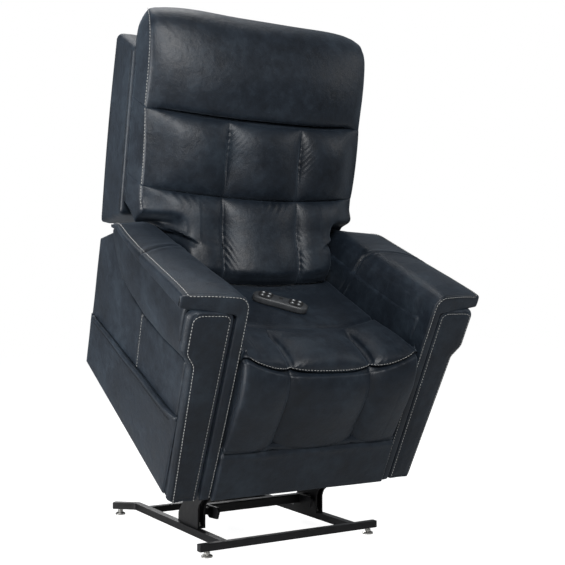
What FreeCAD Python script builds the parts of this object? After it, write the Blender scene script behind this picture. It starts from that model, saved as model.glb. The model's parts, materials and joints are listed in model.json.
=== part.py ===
import FreeCAD, Part
import os
from math import sin, cos, radians, degrees, atan2, hypot
from FreeCAD import Vector as V

# Power lift recliner chair, drawn with the lift raised (the chair tipped
# forward on its base).  Millimetres, +Z up, the sitter faces -Y, +X is the
# sitter's left.  The floor is z = 0 and the origin is the middle of the
# footprint.
#
# Everything carried by the lift is drawn in the chair's own seated frame
# (x sideways, y to the back, z up from the underside of the chair) and is
# then tipped forward by TILT about the front bottom edge.

os.makedirs("parts", exist_ok=True)

# ---------------------------------------------------------------- dimensions
TILT = 29.0              # forward tip of the chair at the top of the lift
CHAIR_Y = -16.7          # where the chair's front bottom edge stands, raised
CHAIR_Z = 156.7
SEATED_Y = 20.0          # and where it stands with the lift down
SEATED_Z = 42.0
CENTRE_Y = 189.4         # middle of the footprint, from the base's front face

# base
TUBE = 20.0              # square tube
BASE_HALF = 279.0        # half width of the front foot tube
RAIL_OUT = 215.0         # outer face of the side rails
TUBE_Z = 16.0            # underside of the tubes
REAR_TUBE_Y = 510.0
BEND_Y = 583.0
FOOT_R = 15.0

# lift linkage (base frame, y and z)
ARM_PIVOT_Y = 227.0
B_Y, B_Z = 580.0, 14.0   # rear pivot on the chair's lift frame
C_Y, C_Z = 340.0, 14.0   # front pivot on the chair's lift frame
LINK_PIVOT = (144.803, 141.524)
ARM_X0, ARM_X1 = 188.0, 193.5
LINK_X0, LINK_X1 = 195.0, 200.0
CROSS_R = 42.0           # cross tube's distance from the arm pivot
LEVER_R, LEVER_A = 76.0, 35.0
ACT_P = (520.0, 55.0)    # foot of the lift actuator

# chair body
SEAT_HALF = 266.0
ARM_IN = 272.0           # inner face of the inner pads
FRAME_IN, FRAME_OUT = 301.0, 359.5
PANEL_X0, PANEL_X1 = 360.0, 381.0
LEAN_X = 23.0 / 400.0    # outward lean of the outer panel
FRONT_LEAN = 36.0 / 538.0
SEAT_TOP = 403.0

# recline, footrest and actuators in the chair frame (y, z)
REC = (560.0, 395.0)
REC_FOOT = (230.0, 160.0)
REC_TIP = (575.0, 270.0)
FR = (56.0, 330.0)       # hip pivot of the footrest linkage
FR_LEN = 160.0
FR_FOOT = (380.0, 266.0)
FR_TIP = (101.0, 268.0)

# handset: centre on the seat, long axis turned from +X
HS = (-16.0, 296.0)
HS_TURN = -38.5
HS_L, HS_W, HS_H = 156.0, 52.0, 24.0
SEAT_SLOPE = 4.0


# ------------------------------------------------------------------- helpers
def box(x0, x1, y0, y1, z0, z1):
    return Part.makeBox(x1 - x0, y1 - y0, z1 - z0, V(x0, y0, z0))


def poly(pts):
    return Part.Face(Part.makePolygon([V(*p) for p in pts] + [V(*pts[0])]))


def prism_x(yz, x0, x1):
    return poly([(x0, y, z) for y, z in yz]).extrude(V(x1 - x0, 0, 0))


def prism_y(xz, y0, y1):
    return poly([(x, y0, z) for x, z in xz]).extrude(V(0, y1 - y0, 0))


def prism_z(xy, z0, z1):
    return poly([(x, y, z0) for x, y in xy]).extrude(V(0, 0, z1 - z0))


def cyl_x(y, z, r, x0, x1):
    return Part.makeCylinder(r, x1 - x0, V(x0, y, z), V(1, 0, 0))


def rod(p, q, r, x):
    d = V(0, q[0] - p[0], q[1] - p[1])
    return Part.makeCylinder(r, d.Length, V(x, p[0], p[1]), d)


def bar(p, q, w, x0, x1, holes=(), end=None):
    """flat link between two pivots with round ends"""
    e = w / 2.0 if end is None else end
    dy, dz = q[0] - p[0], q[1] - p[1]
    L = hypot(dy, dz)
    ny, nz = -dz / L * w / 2.0, dy / L * w / 2.0
    s = prism_x([(p[0] + ny, p[1] + nz), (q[0] + ny, q[1] + nz),
                 (q[0] - ny, q[1] - nz), (p[0] - ny, p[1] - nz)], x0, x1)
    s = s.fuse(cyl_x(p[0], p[1], e, x0, x1)).fuse(cyl_x(q[0], q[1], e, x0, x1))
    s = s.removeSplitter()
    for (c, r) in holes:
        s = s.cut(cyl_x(c[0], c[1], r, x0 - 1, x1 + 1))
    return s


def round_box(x0, x1, y0, y1, z0, z1, r):
    s = box(x0, x1, y0, y1, z0, z1)
    try:
        f = s.makeFillet(r, s.Edges)
        if f.isValid() and len(f.Solids) == 1:
            return f
    except Exception:
        pass
    return s


def soften(s, r, along=None):
    """round the edges that run along one axis"""
    es = []
    for e in s.Edges:
        if e.Curve.TypeId != "Part::GeomLine":
            continue
        d = e.tangentAt(e.FirstParameter)
        if along is None or abs(getattr(d, along)) > 0.999:
            es.append(e)
    try:
        f = s.makeFillet(r, es)
        if f.isValid() and len(f.Solids) == 1:
            return f
    except Exception:
        pass
    return s


def loft(sections):
    """closed ruled solid through polygon sections"""
    ws = [Part.makePolygon([V(*p) for p in s] + [V(*s[0])]) for s in sections]
    s = Part.makeLoft(ws, True, True)
    if s.Volume < 0:
        s.reverse()
    return s


def mir(s):
    return s.mirror(V(0, 0, 0), V(1, 0, 0))


def both(s):
    return [s, mir(s)]


def tip(s):
    t = s.copy()
    t.rotate(V(0, 0, 0), V(1, 0, 0), TILT)
    t.translate(V(0, CHAIR_Y - CENTRE_Y, CHAIR_Z))
    return t


def floor(s):
    t = s.copy()
    t.translate(V(0, -CENTRE_Y, 0))
    return t


def out(name, shapes, place):
    if not isinstance(shapes, (list, tuple)):
        shapes = [shapes]
    sol = []
    for s in shapes:
        for q in s.Solids:
            sol.append(place(q))
    c = sol[0] if len(sol) == 1 else Part.makeCompound(sol)
    for q in sol:
        if not q.isValid() or q.Volume <= 0:
            print("BAD", name, q.Volume)
    c.exportStep("parts/%s.step" % name)
    b = c.BoundBox
    print("%-24s n=%d vol=%9.0f  x %.0f..%.0f y %.0f..%.0f z %.0f..%.0f" % (
        name, len(sol), sum(q.Volume for q in sol),
        b.XMin, b.XMax, b.YMin, b.YMax, b.ZMin, b.ZMax))


def rot(p, a):
    a = radians(a)
    return (p[0] * cos(a) - p[1] * sin(a), p[0] * sin(a) + p[1] * cos(a))


def to_base(p, raised=True):
    if raised:
        r = rot(p, TILT)
        return (CHAIR_Y + r[0], CHAIR_Z + r[1])
    return (SEATED_Y + p[0], SEATED_Z + p[1])


# rear lift pivot: found so that the arm carries B from seated to raised
B1 = to_base((B_Y, B_Z))
B0 = to_base((B_Y, B_Z), False)
C1 = to_base((C_Y, C_Z))
mid = ((B0[0] + B1[0]) / 2, (B0[1] + B1[1]) / 2)
A = (ARM_PIVOT_Y, mid[1] - (ARM_PIVOT_Y - mid[0]) * (B1[0] - B0[0]) / (B1[1] - B0[1]))
ARM_ANG = degrees(atan2(B1[1] - A[1], B1[0] - A[0]))
LEV = radians(ARM_ANG + LEVER_A)
X1 = (A[0] + CROSS_R * cos(LEV), A[1] + CROSS_R * sin(LEV))
T1 = (A[0] + LEVER_R * cos(LEV), A[1] + LEVER_R * sin(LEV))

# ---------------------------------------------------------------------- base
z0, z1 = TUBE_Z, TUBE_Z + TUBE
front = box(-BASE_HALF, BASE_HALF, 0, TUBE, z0, z1)
front = soften(front, 2.5, "x")
FOOT_F = (257.0, 11.0)
FOOT_B = (249.0, 621.0)
for sx in (1, -1):
    front = front.cut(Part.makeCylinder(5.08, 17, V(sx * FOOT_F[0], FOOT_F[1], z0 - 1), V(0, 0, 1)))
out("base_front_tube", front, floor)

rail = prism_z([(RAIL_OUT, TUBE), (RAIL_OUT, BEND_Y), (268.6, 630.8),
                (255.3, 645.7), (RAIL_OUT - TUBE, 592.0), (RAIL_OUT - TUBE, TUBE)], z0, z1)
bend = [e for e in rail.Edges if abs(e.tangentAt(e.FirstParameter).z) > 0.99
        and BEND_Y - 2 < e.CenterOfMass.y < BEND_Y + 12]
rail = rail.makeFillet(14.0, bend)
rail = rail.cut(Part.makeCylinder(5.08, 17, V(FOOT_B[0], FOOT_B[1], z0 - 1), V(0, 0, 1)))
out("base_side_rails", both(rail), floor)
rear = soften(box(-(RAIL_OUT - TUBE), RAIL_OUT - TUBE, REAR_TUBE_Y, REAR_TUBE_Y + TUBE, z0, z1), 2.5, "x")
out("base_rear_tube", rear, floor)
# plugs in the open tube ends
caps = [soften(box(BASE_HALF, BASE_HALF + 2.5, 0.5, TUBE - .5, z0 + .5, z1 - .5), 1.0, "x")]
dx, dy = (268.6 - RAIL_OUT), (630.8 - BEND_Y)
L = hypot(dx, dy)
ux, uy = dx / L, dy / L
e0, e1 = (268.6, 630.8), (255.3, 645.7)
cap2 = prism_z([(e0[0], e0[1]), (e0[0] + ux * 2.5, e0[1] + uy * 2.5),
                (e1[0] + ux * 2.5, e1[1] + uy * 2.5), (e1[0], e1[1])], z0 + .5, z1 - .5)
caps.append(cap2)
out("tube_end_caps", caps + [mir(c) for c in caps], floor)

# pedestals: a pair of cheek plates and a foot flange on each rail
ped_out = [(168, z1), (292, z1), (292, 62), (262, 96), (256, 150), (250, 176),
           (232, 186), (205, 184), (170, 166), (136, 160), (126, 142), (134, 124), (160, 104), (168, 88)]
plate_o = prism_x(ped_out, 201.0, 206.0)
plate_i = prism_x(ped_out, 182.0, 187.0)
plate_o = plate_o.cut(cyl_x(LINK_PIVOT[0], LINK_PIVOT[1], 6.05, 190, 215))
for c, r in ((A, 7.05), (LINK_PIVOT, 6.05)):
    plate_i = plate_i.cut(cyl_x(c[0], c[1], r, 170, 195))
# raised boss on the outer plate in line with the arm pivot
plate_o = plate_o.fuse(cyl_x(A[0], A[1], 15.0, 206, 207.5)).fuse(cyl_x(A[0], A[1], 8.0, 207.5, 209.0))
flange = box(187.0, 201.0, 168, 292, z1, z1 + 5)
ped = plate_o.fuse(flange).fuse(plate_i).removeSplitter()
out("lift_pedestals", both(ped), floor)
tie = soften(box(-182, 182, 214, 240, 63, 89), 4, "x")
# plate under the tie tube that carries the stop
stop_plate = prism_x([(141, 84), (152, 60), (196, 57), (209, 63), (209, 90), (150, 92)], 150, 156)
stop_plate = stop_plate.fuse(box(156, 182, 196, 209, 66, 86)).removeSplitter()
out("pedestal_tie", [tie] + both(stop_plate), floor)

# levelling feet
def foot(x, y):
    s = Part.makeCylinder(FOOT_R, 4.0, V(x, y, 0))
    s = s.fuse(Part.makeCone(FOOT_R, 8.0, 4.0, V(x, y, 4.0)))
    s = s.fuse(Part.makeCylinder(8.0, 5.0, V(x, y, 8.0)))
    s = s.fuse(Part.makeCylinder(5.0, 29.0, V(x, y, 2.0)))
    return s.removeSplitter()


out("foot_front_left", foot(FOOT_F[0], FOOT_F[1]), floor)
out("foot_front_right", foot(-FOOT_F[0], FOOT_F[1]), floor)
out("foot_rear_left", foot(FOOT_B[0], FOOT_B[1]), floor)
out("foot_rear_right", foot(-FOOT_B[0], FOOT_B[1]), floor)

# rear clevis for the lift actuator: base plate and two ears
clev = box(-24, 24, REAR_TUBE_Y, REAR_TUBE_Y + TUBE, z1, z1 + 4)
ear = prism_x([(REAR_TUBE_Y, z1 + 4), (REAR_TUBE_Y + TUBE, z1 + 4), (ACT_P[0] + 9, ACT_P[1] + 6),
               (ACT_P[0], ACT_P[1] + 11), (ACT_P[0] - 9, ACT_P[1] + 6)], 19, 24)
ear = ear.cut(cyl_x(ACT_P[0], ACT_P[1], 4.05, 15, 30))
clev = clev.fuse(ear).fuse(mir(ear)).removeSplitter()
out("lift_actuator_clevis", clev, floor)
# bolts that hold the pedestals down, with their nuts under the rails left out
bolts = []
for y in (182, 278):
    h = Part.makeCylinder(5.5, 4, V(194, y, z1 + 5)).fuse(Part.makeCylinder(3, 5, V(194, y, z1 + 9)))
    bolts += both(h.removeSplitter())
out("base_bolts", bolts, floor)

# ----------------------------------------------------------------- lift arms
arm = bar(A, B1, 34, ARM_X0, ARM_X1, end=17).cut(cyl_x(B1[0], B1[1], 6.05, 180, 210))
lever = bar(A, X1, 26, ARM_X0, ARM_X1)
pin = cyl_x(A[0], A[1], 7.0, 176, ARM_X1).fuse(cyl_x(A[0], A[1], 10.0, 173, 176))
arm = arm.fuse(lever).fuse(pin).removeSplitter()
out("lift_arms", both(arm), floor)
cross = cyl_x(X1[0], X1[1], 10.0, -ARM_X0, ARM_X0)
lug = bar(X1, T1, 20, 12, 17, holes=((T1, 4.5),))
cross = cross.fuse(lug).fuse(mir(lug)).removeSplitter()
out("lift_arm_cross_tube", cross, floor)
# front links, running beside the arms; their top eyes clear the chair's pins
link = bar(LINK_PIVOT, C1, 28, LINK_X0, LINK_X1, holes=((LINK_PIVOT, 6.0), (C1, 8.0)))
lpin = cyl_x(LINK_PIVOT[0], LINK_PIVOT[1], 6.0, 178, 209).fuse(cyl_x(LINK_PIVOT[0], LINK_PIVOT[1], 10.0, 209, 212)).removeSplitter()
link = link.fuse(lpin).removeSplitter()
out("front_links", both(link), floor)

# ------------------------------------------------------------- lift actuator
TL = T1
d = (T1[0] - ACT_P[0], T1[1] - ACT_P[1])
L = hypot(*d)
u = (d[0] / L, d[1] / L)
n = (-u[1], u[0])


def along(p, u, s, w=0.0):
    n = (-u[1], u[0])
    return (p[0] + u[0] * s + n[0] * w, p[1] + u[1] * s + n[1] * w)


tube_out = rod(along(ACT_P, u, 24), along(ACT_P, u, 196), 15.0, 0)
bore = rod(along(ACT_P, u, 34), along(ACT_P, u, 200), 9.6, 0)
end_lug = bar(ACT_P, along(ACT_P, u, 30), 20, -9, 9, holes=((ACT_P, 4.05),))
body = tube_out.cut(bore).fuse(end_lug).removeSplitter()
ppin = cyl_x(ACT_P[0], ACT_P[1], 4.0, -27, 27).fuse(cyl_x(ACT_P[0], ACT_P[1], 7, -29.5, -26.5)).fuse(cyl_x(ACT_P[0], ACT_P[1], 7, 26.5, 29.5))
out("lift_actuator_tube", [body, ppin.removeSplitter()], floor)
# motor hung under the tube at its foot
m0, m1 = along(ACT_P, u, 44), along(ACT_P, u, 150)


def slab(p, u, s0, s1, w0, w1, x0, x1):
    return prism_x([along(p, u, s0, w0), along(p, u, s1, w0), along(p, u, s1, w1), along(p, u, s0, w1)], x0, x1)


motor = soften(slab(ACT_P, u, 36, 132, 16.5, 50, -24, 24), 6)
out("lift_actuator_motor", motor, floor)
rodl = rod(along(ACT_P, u, 126), along(ACT_P, u, L - 14), 9.0, 0)
eye = bar(along(ACT_P, u, L - 24), TL, 16, -10.5, 10.5)
eye = eye.cut(cyl_x(TL[0], TL[1], 4.5, -12, 12))
out("lift_actuator_rod", rodl.fuse(eye).removeSplitter(), floor)

# --------------------------------------------------- chair: steel lift frame
lrail = soften(box(209, 229, 312, 604, 0, 28), 2.5, "y")
lrail = lrail.fuse(cyl_x(B_Y, B_Z, 6.0, 187, 209)).fuse(cyl_x(B_Y, B_Z, 10.0, 184, 187))
lrail = lrail.fuse(cyl_x(C_Y, C_Z, 6.0, 194.4, 209))
lrail = lrail.removeSplitter()
ups = []
for y in (312, 584):
    ups += both(box(209, 229, y, y + 20, 28, 176).fuse(box(229, 240, y, y + 20, 152, 176)).removeSplitter())


# ------------------------------------------------------- chair: wooden box
rails = [box(240, 266, 112, 604, 152, 284), box(-266, -240, 112, 604, 152, 284)]
fr_rail = box(-266, 266, 90, 112, 165, 235)  # carries the front of the box
back_rail = box(-240, 240, 604 - 22, 604, 190, 250)
out("seat_box_frame", rails + [fr_rail, back_rail], tip)
bars = [cyl_x(REC_FOOT[0], REC_FOOT[1], 10, -240, 66).fuse(cyl_x(REC_FOOT[0], REC_FOOT[1], 6, 66, 94)).fuse(cyl_x(REC_FOOT[0], REC_FOOT[1], 10, 94, 240)).removeSplitter(),
        cyl_x(FR_FOOT[0], FR_FOOT[1], 9, -240, -94).fuse(cyl_x(FR_FOOT[0], FR_FOOT[1], 6, -94, -66)).fuse(cyl_x(FR_FOOT[0], FR_FOOT[1], 9, -66, 240)).removeSplitter()]
springs = []
for x in (-216, -163, -111, -44, 14, 72, 144, 216):
    s = box(x - 16, x + 16, 120, 426, 284, 287.5)
    for j in range(8):
        yy = 132 + j * 36
        side = 1 if j % 2 == 0 else -1
        s = s.cut(box(x - 12.5 if side > 0 else x - 17, x + 17 if side > 0 else x + 12.5, yy, yy + 30, 283, 289))
    springs.append(s)
out("seat_springs", springs, tip)

# -------------------------------------------------------------------- arms
def fx(x_at0, z):
    return x_at0 + LEAN_X * z


# hidden wooden arm boxes
side_in = [(30, 6), (660, 6), (692, 396), (588, 474), (548, 458), (305, 470), (60, 512)]
fr = prism_x(side_in, FRAME_IN, FRAME_OUT - 1)
out("arm_frame_left", fr, tip)
out("arm_frame_right", mir(fr), tip)

# padded outer side panels, leaning out a little
xz = [(PANEL_X0, 0), (PANEL_X1, 0), (fx(PANEL_X1, 492), 492), (fx(PANEL_X0, 492), 492)]
sl = [(22, 0), (668, 0), (698, 400), (586, 474), (546, 458), (495, 382), (302, 362), (70, 386), (48, 386)]
pan = prism_y(xz, -10, 720).common(prism_x(sl, 340, 480))
out("side_panel_left", pan, tip)
out("side_panel_right", mir(pan), tip)

# inner pads, between seat and arm
ip = prism_x([(2, 2), (650, 2), (676, 380), (586, 470), (548, 452), (305, 470), (44, 530), (36, 530)], ARM_IN, 300)
out("inner_pad_left", ip, tip)
out("inner_pad_right", mir(ip), tip)

# front panels with the stepped outer edge
fo = [(302, 0), (381, 0), (404, 396), (427, 420), (431, 533), (313, 533)]
fp = prism_y(fo, -60, 60)
fside = [(0, 0), (20, 0), (20 + FRONT_LEAN * 533, 533), (FRONT_LEAN * 533, 533)]
fp = fp.common(prism_x(fside, 200, 500))
out("front_panel_left", fp, tip)
out("front_panel_right", mir(fp), tip)


# arm caps with the leaf-shaped bolster below them
def cap_section(y, zi, zo, xo, crown, bi, bo):
    xi = 288 + max(0.0, (110 - y)) * 0.06
    xm = (xi + xo) / 2
    return [(xi, y, bi), (xi - 1, y, zi - 12), (xi + 12, y, zi + crown * .5),
            (xi + 50, y, zi + crown), (xm + 30, y, (zi + zo) / 2 + crown),
            (xo - 14, y, zo + crown * .3), (xo, y, zo - 12), (xo - 4, y, bo + 6), (xo - 24, y, bo)]


secs = [cap_section(32, 574, 563, 452, 4, 538, 537),
        cap_section(60, 576, 563, 454, 8, 536, 536),
        cap_section(200, 556, 549, 454, 14, 499, 500),
        cap_section(345, 536, 534, 452, 18, 481, 484),
        cap_section(519, 524, 520, 442, 10, 476, 476),
        cap_section(594, 508, 506, 424, 4, 486, 485)]
cap = loft(secs)
leaf_side = [(84, 391), (302, 366), (490, 386), (540, 461), (519, 466), (345, 474), (200, 487), (62, 514), (58, 440)]
leaf_xz = [(386, 360), (404, 366), (422, 410), (428, 470), (428, 520), (386, 520)]
leaf = prism_y(leaf_xz, 40, 600).common(prism_x(leaf_side, 360, 460))
out("arm_cap_left", [cap, leaf], tip)
out("arm_cap_right", [mir(cap), mir(leaf)], tip)

# side pocket on the sitter's right: a flat sewn pouch with a rolled hem
px0 = fx(PANEL_X1, 0)
pk = prism_y([(381.6, 4), (386.0, 4), (381.6 + LEAN_X * 236 + 4.4, 236), (381.6 + LEAN_X * 236, 236)], 0, 700)
pk = pk.common(prism_x([(28, 4), (664, 4), (680, 160), (668, 172), (34, 232), (30, 200)], 370, 420))
out("side_pocket", mir(pk), tip)

# -------------------------------------------------------------------- seat
def yz_cushion(pts, half, crown=0):
    return prism_x(pts, -half, half)


seat_side = [(8, 366), (4, 384), (14, 405), (60, 420), (120, 418), (174, 406), (300, 398), (432, 390),
             (434, 300), (430, 290), (118, 290), (118, 366)]
seat = yz_cushion(seat_side, SEAT_HALF)
out("seat_cushion", seat, tip)
# front skirt between the arms
kick = prism_x([(-24, 12), (-8, 10), (-2, 138), (-14, 140)], -263, 263)
out("kickboard", kick, tip)
# cloth panel closing the back of the seat box
out("rear_cover", box(-270, 270, 640, 646, 10, 330), tip)
out("control_box", soften(box(120, 200, 500, 570, 196, 232), 4), tip)
inlet = soften(box(140, 170, 646, 652, 60, 84), 2, "y")
inlet = inlet.fuse(Part.makeCylinder(7, 5, V(155, 652, 72), V(0, 1, 0))).cut(Part.makeCylinder(3, 9, V(155, 650, 72), V(0, 1, 0)))
out("power_inlet", inlet.removeSplitter(), tip)
# brackets on the seat box that carry the back and the footrest pivots
bk = bar((REC[0], 290), REC, 24, 244, 250).common(box(240, 255, 500, 620, 284, 420))
bk = bk.cut(cyl_x(REC[0], REC[1], 6.06, 240, 255))
fb = prism_x([(46, 340), (66, 340), (90, 300), (90, 170), (78, 170), (46, 300)], 206, 212)
fb = fb.cut(cyl_x(FR[0], FR[1], 5.06, 200, 215))
out("lift_frame", both(lrail) + ups + bars + both(bk) + both(fb), tip)

# -------------------------------------------------------------------- back
# lean line of the outer shell: (676,485) to (815,937)
shell_side = [(678, 487), (817, 935), (860, 944), (950, 936), (950, 925), (797, 394), (780, 386)]
shell = prism_x(shell_side, -358, 358)
cut = prism_x([(640, 396), (700, 420), (738, 446), (772, 430), (780, 430), (917, 905), (800, 930), (640, 930)], -334, 334)
shell = shell.cut(cut)
out("back_shell", shell, tip)
# wooden back board inside the shell
up = prism_x([(712, 510), (734, 503.5), (857, 903), (836, 908)], -326, 326)
out("back_board", up, tip)
# brackets down to the recline pivot, and the lever for the recline actuator
bb = prism_x([(547, 389), (556, 382.5), (570, 384), (716, 474), (742, 500), (712, 509), (690, 500), (574, 408), (552, 408)], 252, 258)
bb = bb.fuse(cyl_x(REC[0], REC[1], 6.0, 240, 252))
lev = bar(REC, REC_TIP, 22, 84, 89, holes=((REC_TIP, 4.5),))
lev2 = bar(REC, REC_TIP, 22, 71, 76, holes=((REC_TIP, 4.5),))
tt = cyl_x(REC[0], REC[1], 9, -240, 240).fuse(lev).fuse(lev2).fuse(bb).fuse(mir(bb)).removeSplitter()
out("recline_frame", tt, tip)

head_side = [(675, 807), (662, 850), (672, 930), (706, 1010), (742, 1042), (785, 1048), (840, 1036), (862, 1000),
             (856, 952), (812, 944), (768, 807)]
head = prism_x(head_side, -350, 350)
out("head_cushion", head, tip)
mid_side = [(612, 606), (606, 650), (622, 720), (648, 780), (668, 803), (764, 803), (704, 606)]
mids = prism_x(mid_side, -348, 348)
out("mid_cushion", mids, tip)
low_c = [(444, 418), (446, 440), (470, 500), (520, 560), (572, 602), (698, 602), (672, 512), (610, 414), (560, 414)]
low_c = [(444, 418), (440, 440), (462, 510), (508, 570), (560, 602), (700, 602), (676, 516), (640, 470), (566, 419), (540, 414)]
low = prism_x(low_c, -268, 268)
wing = prism_x([(614, 514), (612, 560), (616, 602), (700, 602), (676, 516)], 268, 347)
low = low.fuse(wing).fuse(mir(wing)).removeSplitter()
out("lumbar_cushion", low, tip)

# ---------------------------------------------------------------- footrest
F, G, H = FR, (FR[0], FR[1] - FR_LEN), FR
l1 = bar(F, G, 20, 214, 220).fuse(cyl_x(F[0], F[1], 5.0, 205, 214)).cut(cyl_x(G[0], G[1], 5.05, 210, 222))
ttube = cyl_x(F[0], F[1], 8, -205, 205).fuse(l1).fuse(mir(l1))
for x0 in (-88, -77):
    ttube = ttube.fuse(bar(F, FR_TIP, 20, x0, x0 + 5, holes=((FR_TIP, 4.5),)))
out("footrest_lower_links", ttube.removeSplitter(), tip)
l2 = bar(G, H, 20, 223.5, 229, holes=((H, 5.05),))
l2 = l2.fuse(cyl_x(G[0], G[1], 5.0, 213, 223.5)).removeSplitter()
out("footrest_upper_links", both(l2), tip)
board = box(-258, 258, 29, 42, 168, 350)
lugs = prism_x([(42, 316), (58, 316), (67, 324), (67, 337), (58, 344), (42, 344)], 231, 236)
lugs = lugs.fuse(cyl_x(H[0], H[1], 5.0, 223, 231)).removeSplitter()
board = board.fuse(lugs).fuse(mir(lugs)).removeSplitter()
out("footrest_board", board, tip)
pad = prism_x([(-14, 156), (-20, 170), (-24, 240), (-30, 300), (-26, 345), (-6, 362), (27, 362), (28, 156)], -264, 264)
out("footrest_pad", pad, tip)


# ---------------------------------------------- recline and footrest actuators
def actuator(foot_p, tip_p, x, tube_s, side, name):
    L = hypot(tip_p[0] - foot_p[0], tip_p[1] - foot_p[1])
    u = ((tip_p[0] - foot_p[0]) / L, (tip_p[1] - foot_p[1]) / L)
    t = rod(along(foot_p, u, 16), along(foot_p, u, tube_s), 13.0, x)
    t = t.cut(rod(along(foot_p, u, 30), along(foot_p, u, tube_s + 2), 8.6, x))
    t = t.fuse(bar(foot_p, along(foot_p, u, 22), 18, x - 11, x + 11))
    t = t.cut(cyl_x(foot_p[0], foot_p[1], 6.06, x - 14, x + 14))
    m = slab(foot_p, u, 28, 96, side * 12.0, side * 44, x - 19, x + 19)
    t = t.fuse(m).removeSplitter()
    out(name + "_body", t, tip)
    r = rod(along(foot_p, u, tube_s - 60), along(foot_p, u, L - 30), 8.0, x)
    e = bar(along(foot_p, u, L - 36), tip_p, 17, x - 2.7, x + 2.7, holes=((tip_p, 4.5),))
    out(name + "_rod", r.fuse(e).removeSplitter(), tip)


actuator(REC_FOOT, REC_TIP, 80, 200, 1, "recline_actuator")
actuator(FR_FOOT, FR_TIP, -80, 170, 1, "footrest_actuator")


# ----------------------------------------------------------------- handset
def hs_place(s):
    """from the handset's own frame (x long, y across, z up) to the seat"""
    t = s.copy()
    t.rotate(V(0, 0, 0), V(0, 0, 1), HS_TURN)
    t.rotate(V(0, 0, 0), V(1, 0, 0), -SEAT_SLOPE)
    t.translate(V(HS[0], HS[1], HS_SEAT_Z))
    return tip(t)


# height of the seat's plane under the handset, with a hair of clearance
HS_SEAT_Z = 398.0 + (300 - HS[1]) * 8.0 / 126.0 + 0.9
oct_xy = []
hl, hw = HS_L / 2, HS_W / 2
for (sx, sy) in ((1, 1), (-1, 1), (-1, -1), (1, -1)):
    pts = [(hl, hw - 16), (hl - 5, hw - 5), (hl - 16, hw)]
    if sx * sy < 0:
        pts = pts[::-1]
    oct_xy += [(sx * a, sy * b) for a, b in pts]
hb = prism_z(oct_xy, 0, HS_H)
top = prism_x([(-hw, 0), (hw, 0), (hw, 15), (hw - 7, 22), (0, HS_H), (-hw + 7, 22), (-hw, 15)], -hl, hl)
hb = hb.common(top)
BTN = []
for k, xx in enumerate((-52.0, -34.0, 34.0, 52.0)):
    for yy in (-10.5, 10.5):
        BTN.append((xx, yy))
for (xx, yy) in BTN:
    hb = hb.cut(Part.makeCylinder(6.6, 8, V(xx, yy, 18.6)))
out("handset_body", hb, hs_place)
names = ["recline_back", "recline_up", "legs_up", "legs_down", "lift_up", "lift_down", "head_up", "head_down"]
for nme, (xx, yy) in zip(names, BTN):
    b = Part.makeCylinder(6.0, 4.6, V(xx, yy, 20.0))
    b = b.fuse(Part.makeCone(6.0, 4.8, 1.0, V(xx, yy, 24.6)))
    out("button_" + nme, b.removeSplitter(), hs_place)

print("A", A, "B1", B1, "arm angle", ARM_ANG, "T1", T1, "TL", TL)
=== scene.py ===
import bpy, bmesh, json
import numpy as np
from math import radians, degrees, sin, cos, pi, sqrt, atan2, hypot
from mathutils import Vector, Matrix


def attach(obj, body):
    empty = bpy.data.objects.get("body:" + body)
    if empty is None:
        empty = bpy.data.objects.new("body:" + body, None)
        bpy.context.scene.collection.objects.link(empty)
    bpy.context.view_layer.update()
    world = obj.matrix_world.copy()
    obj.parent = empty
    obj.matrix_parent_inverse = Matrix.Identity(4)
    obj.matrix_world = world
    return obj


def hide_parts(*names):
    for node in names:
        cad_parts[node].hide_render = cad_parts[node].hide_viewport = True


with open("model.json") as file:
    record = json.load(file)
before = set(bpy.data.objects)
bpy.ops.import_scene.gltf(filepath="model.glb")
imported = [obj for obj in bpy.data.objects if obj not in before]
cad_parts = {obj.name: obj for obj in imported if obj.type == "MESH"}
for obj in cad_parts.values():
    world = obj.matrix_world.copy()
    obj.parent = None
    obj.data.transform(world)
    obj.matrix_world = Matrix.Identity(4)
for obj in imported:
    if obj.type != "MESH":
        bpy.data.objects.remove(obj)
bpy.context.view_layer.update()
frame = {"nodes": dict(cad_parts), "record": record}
scene = bpy.context.scene
rng = np.random.RandomState(7)

# ---------------------------------------------------------------- the frames
TH = radians(29.0)
CT, ST = cos(TH), sin(TH)
CY, CZ, MID = -16.7, 156.7, 189.4


def row(P):
    P = np.asarray(P, float)
    x, y, z = P[..., 0], P[..., 1], P[..., 2]
    return np.stack([x, CY + y * CT - z * ST - MID, CZ + y * ST + z * CT], -1) / 1000.0


def sstep(a, b, x):
    t = np.clip((np.asarray(x, float) - a) / (b - a), 0, 1)
    return t * t * (3 - 2 * t)


def lerp_tab(x, tab):
    xs, ys = zip(*tab)
    return np.interp(x, xs, ys)


def smooth_tab(x, tab, w):
    """piecewise-linear table, softened over +-w"""
    x = np.asarray(x, float)
    acc = 0.0
    ks = np.linspace(-1, 1, 9)
    wt = (1 - ks ** 2) + 0.05
    for k, g in zip(ks, wt):
        acc = acc + g * lerp_tab(x + k * w, tab)
    return acc / wt.sum()


def catmull(pts, n):
    """n points on a smooth curve through pts, even in arc length"""
    p = np.asarray(pts, float)
    p = np.vstack([2 * p[0] - p[1], p, 2 * p[-1] - p[-2]])
    out = []
    for i in range(1, len(p) - 2):
        t = np.linspace(0, 1, 24, endpoint=False)[:, None]
        a, b, c, d = p[i - 1], p[i], p[i + 1], p[i + 2]
        out.append(0.5 * ((2 * b) + (c - a) * t + (2 * a - 5 * b + 4 * c - d) * t ** 2 + (3 * b - a - 3 * c + d) * t ** 3))
    out.append(p[-2][None])
    q = np.vstack(out)
    return resample(q, n)


def resample(q, n):
    d = np.r_[0, np.cumsum(np.linalg.norm(np.diff(q, axis=0), axis=1))]
    t = np.linspace(0, d[-1], n)
    return np.stack([np.interp(t, d, q[:, k]) for k in range(q.shape[1])], -1)


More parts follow.
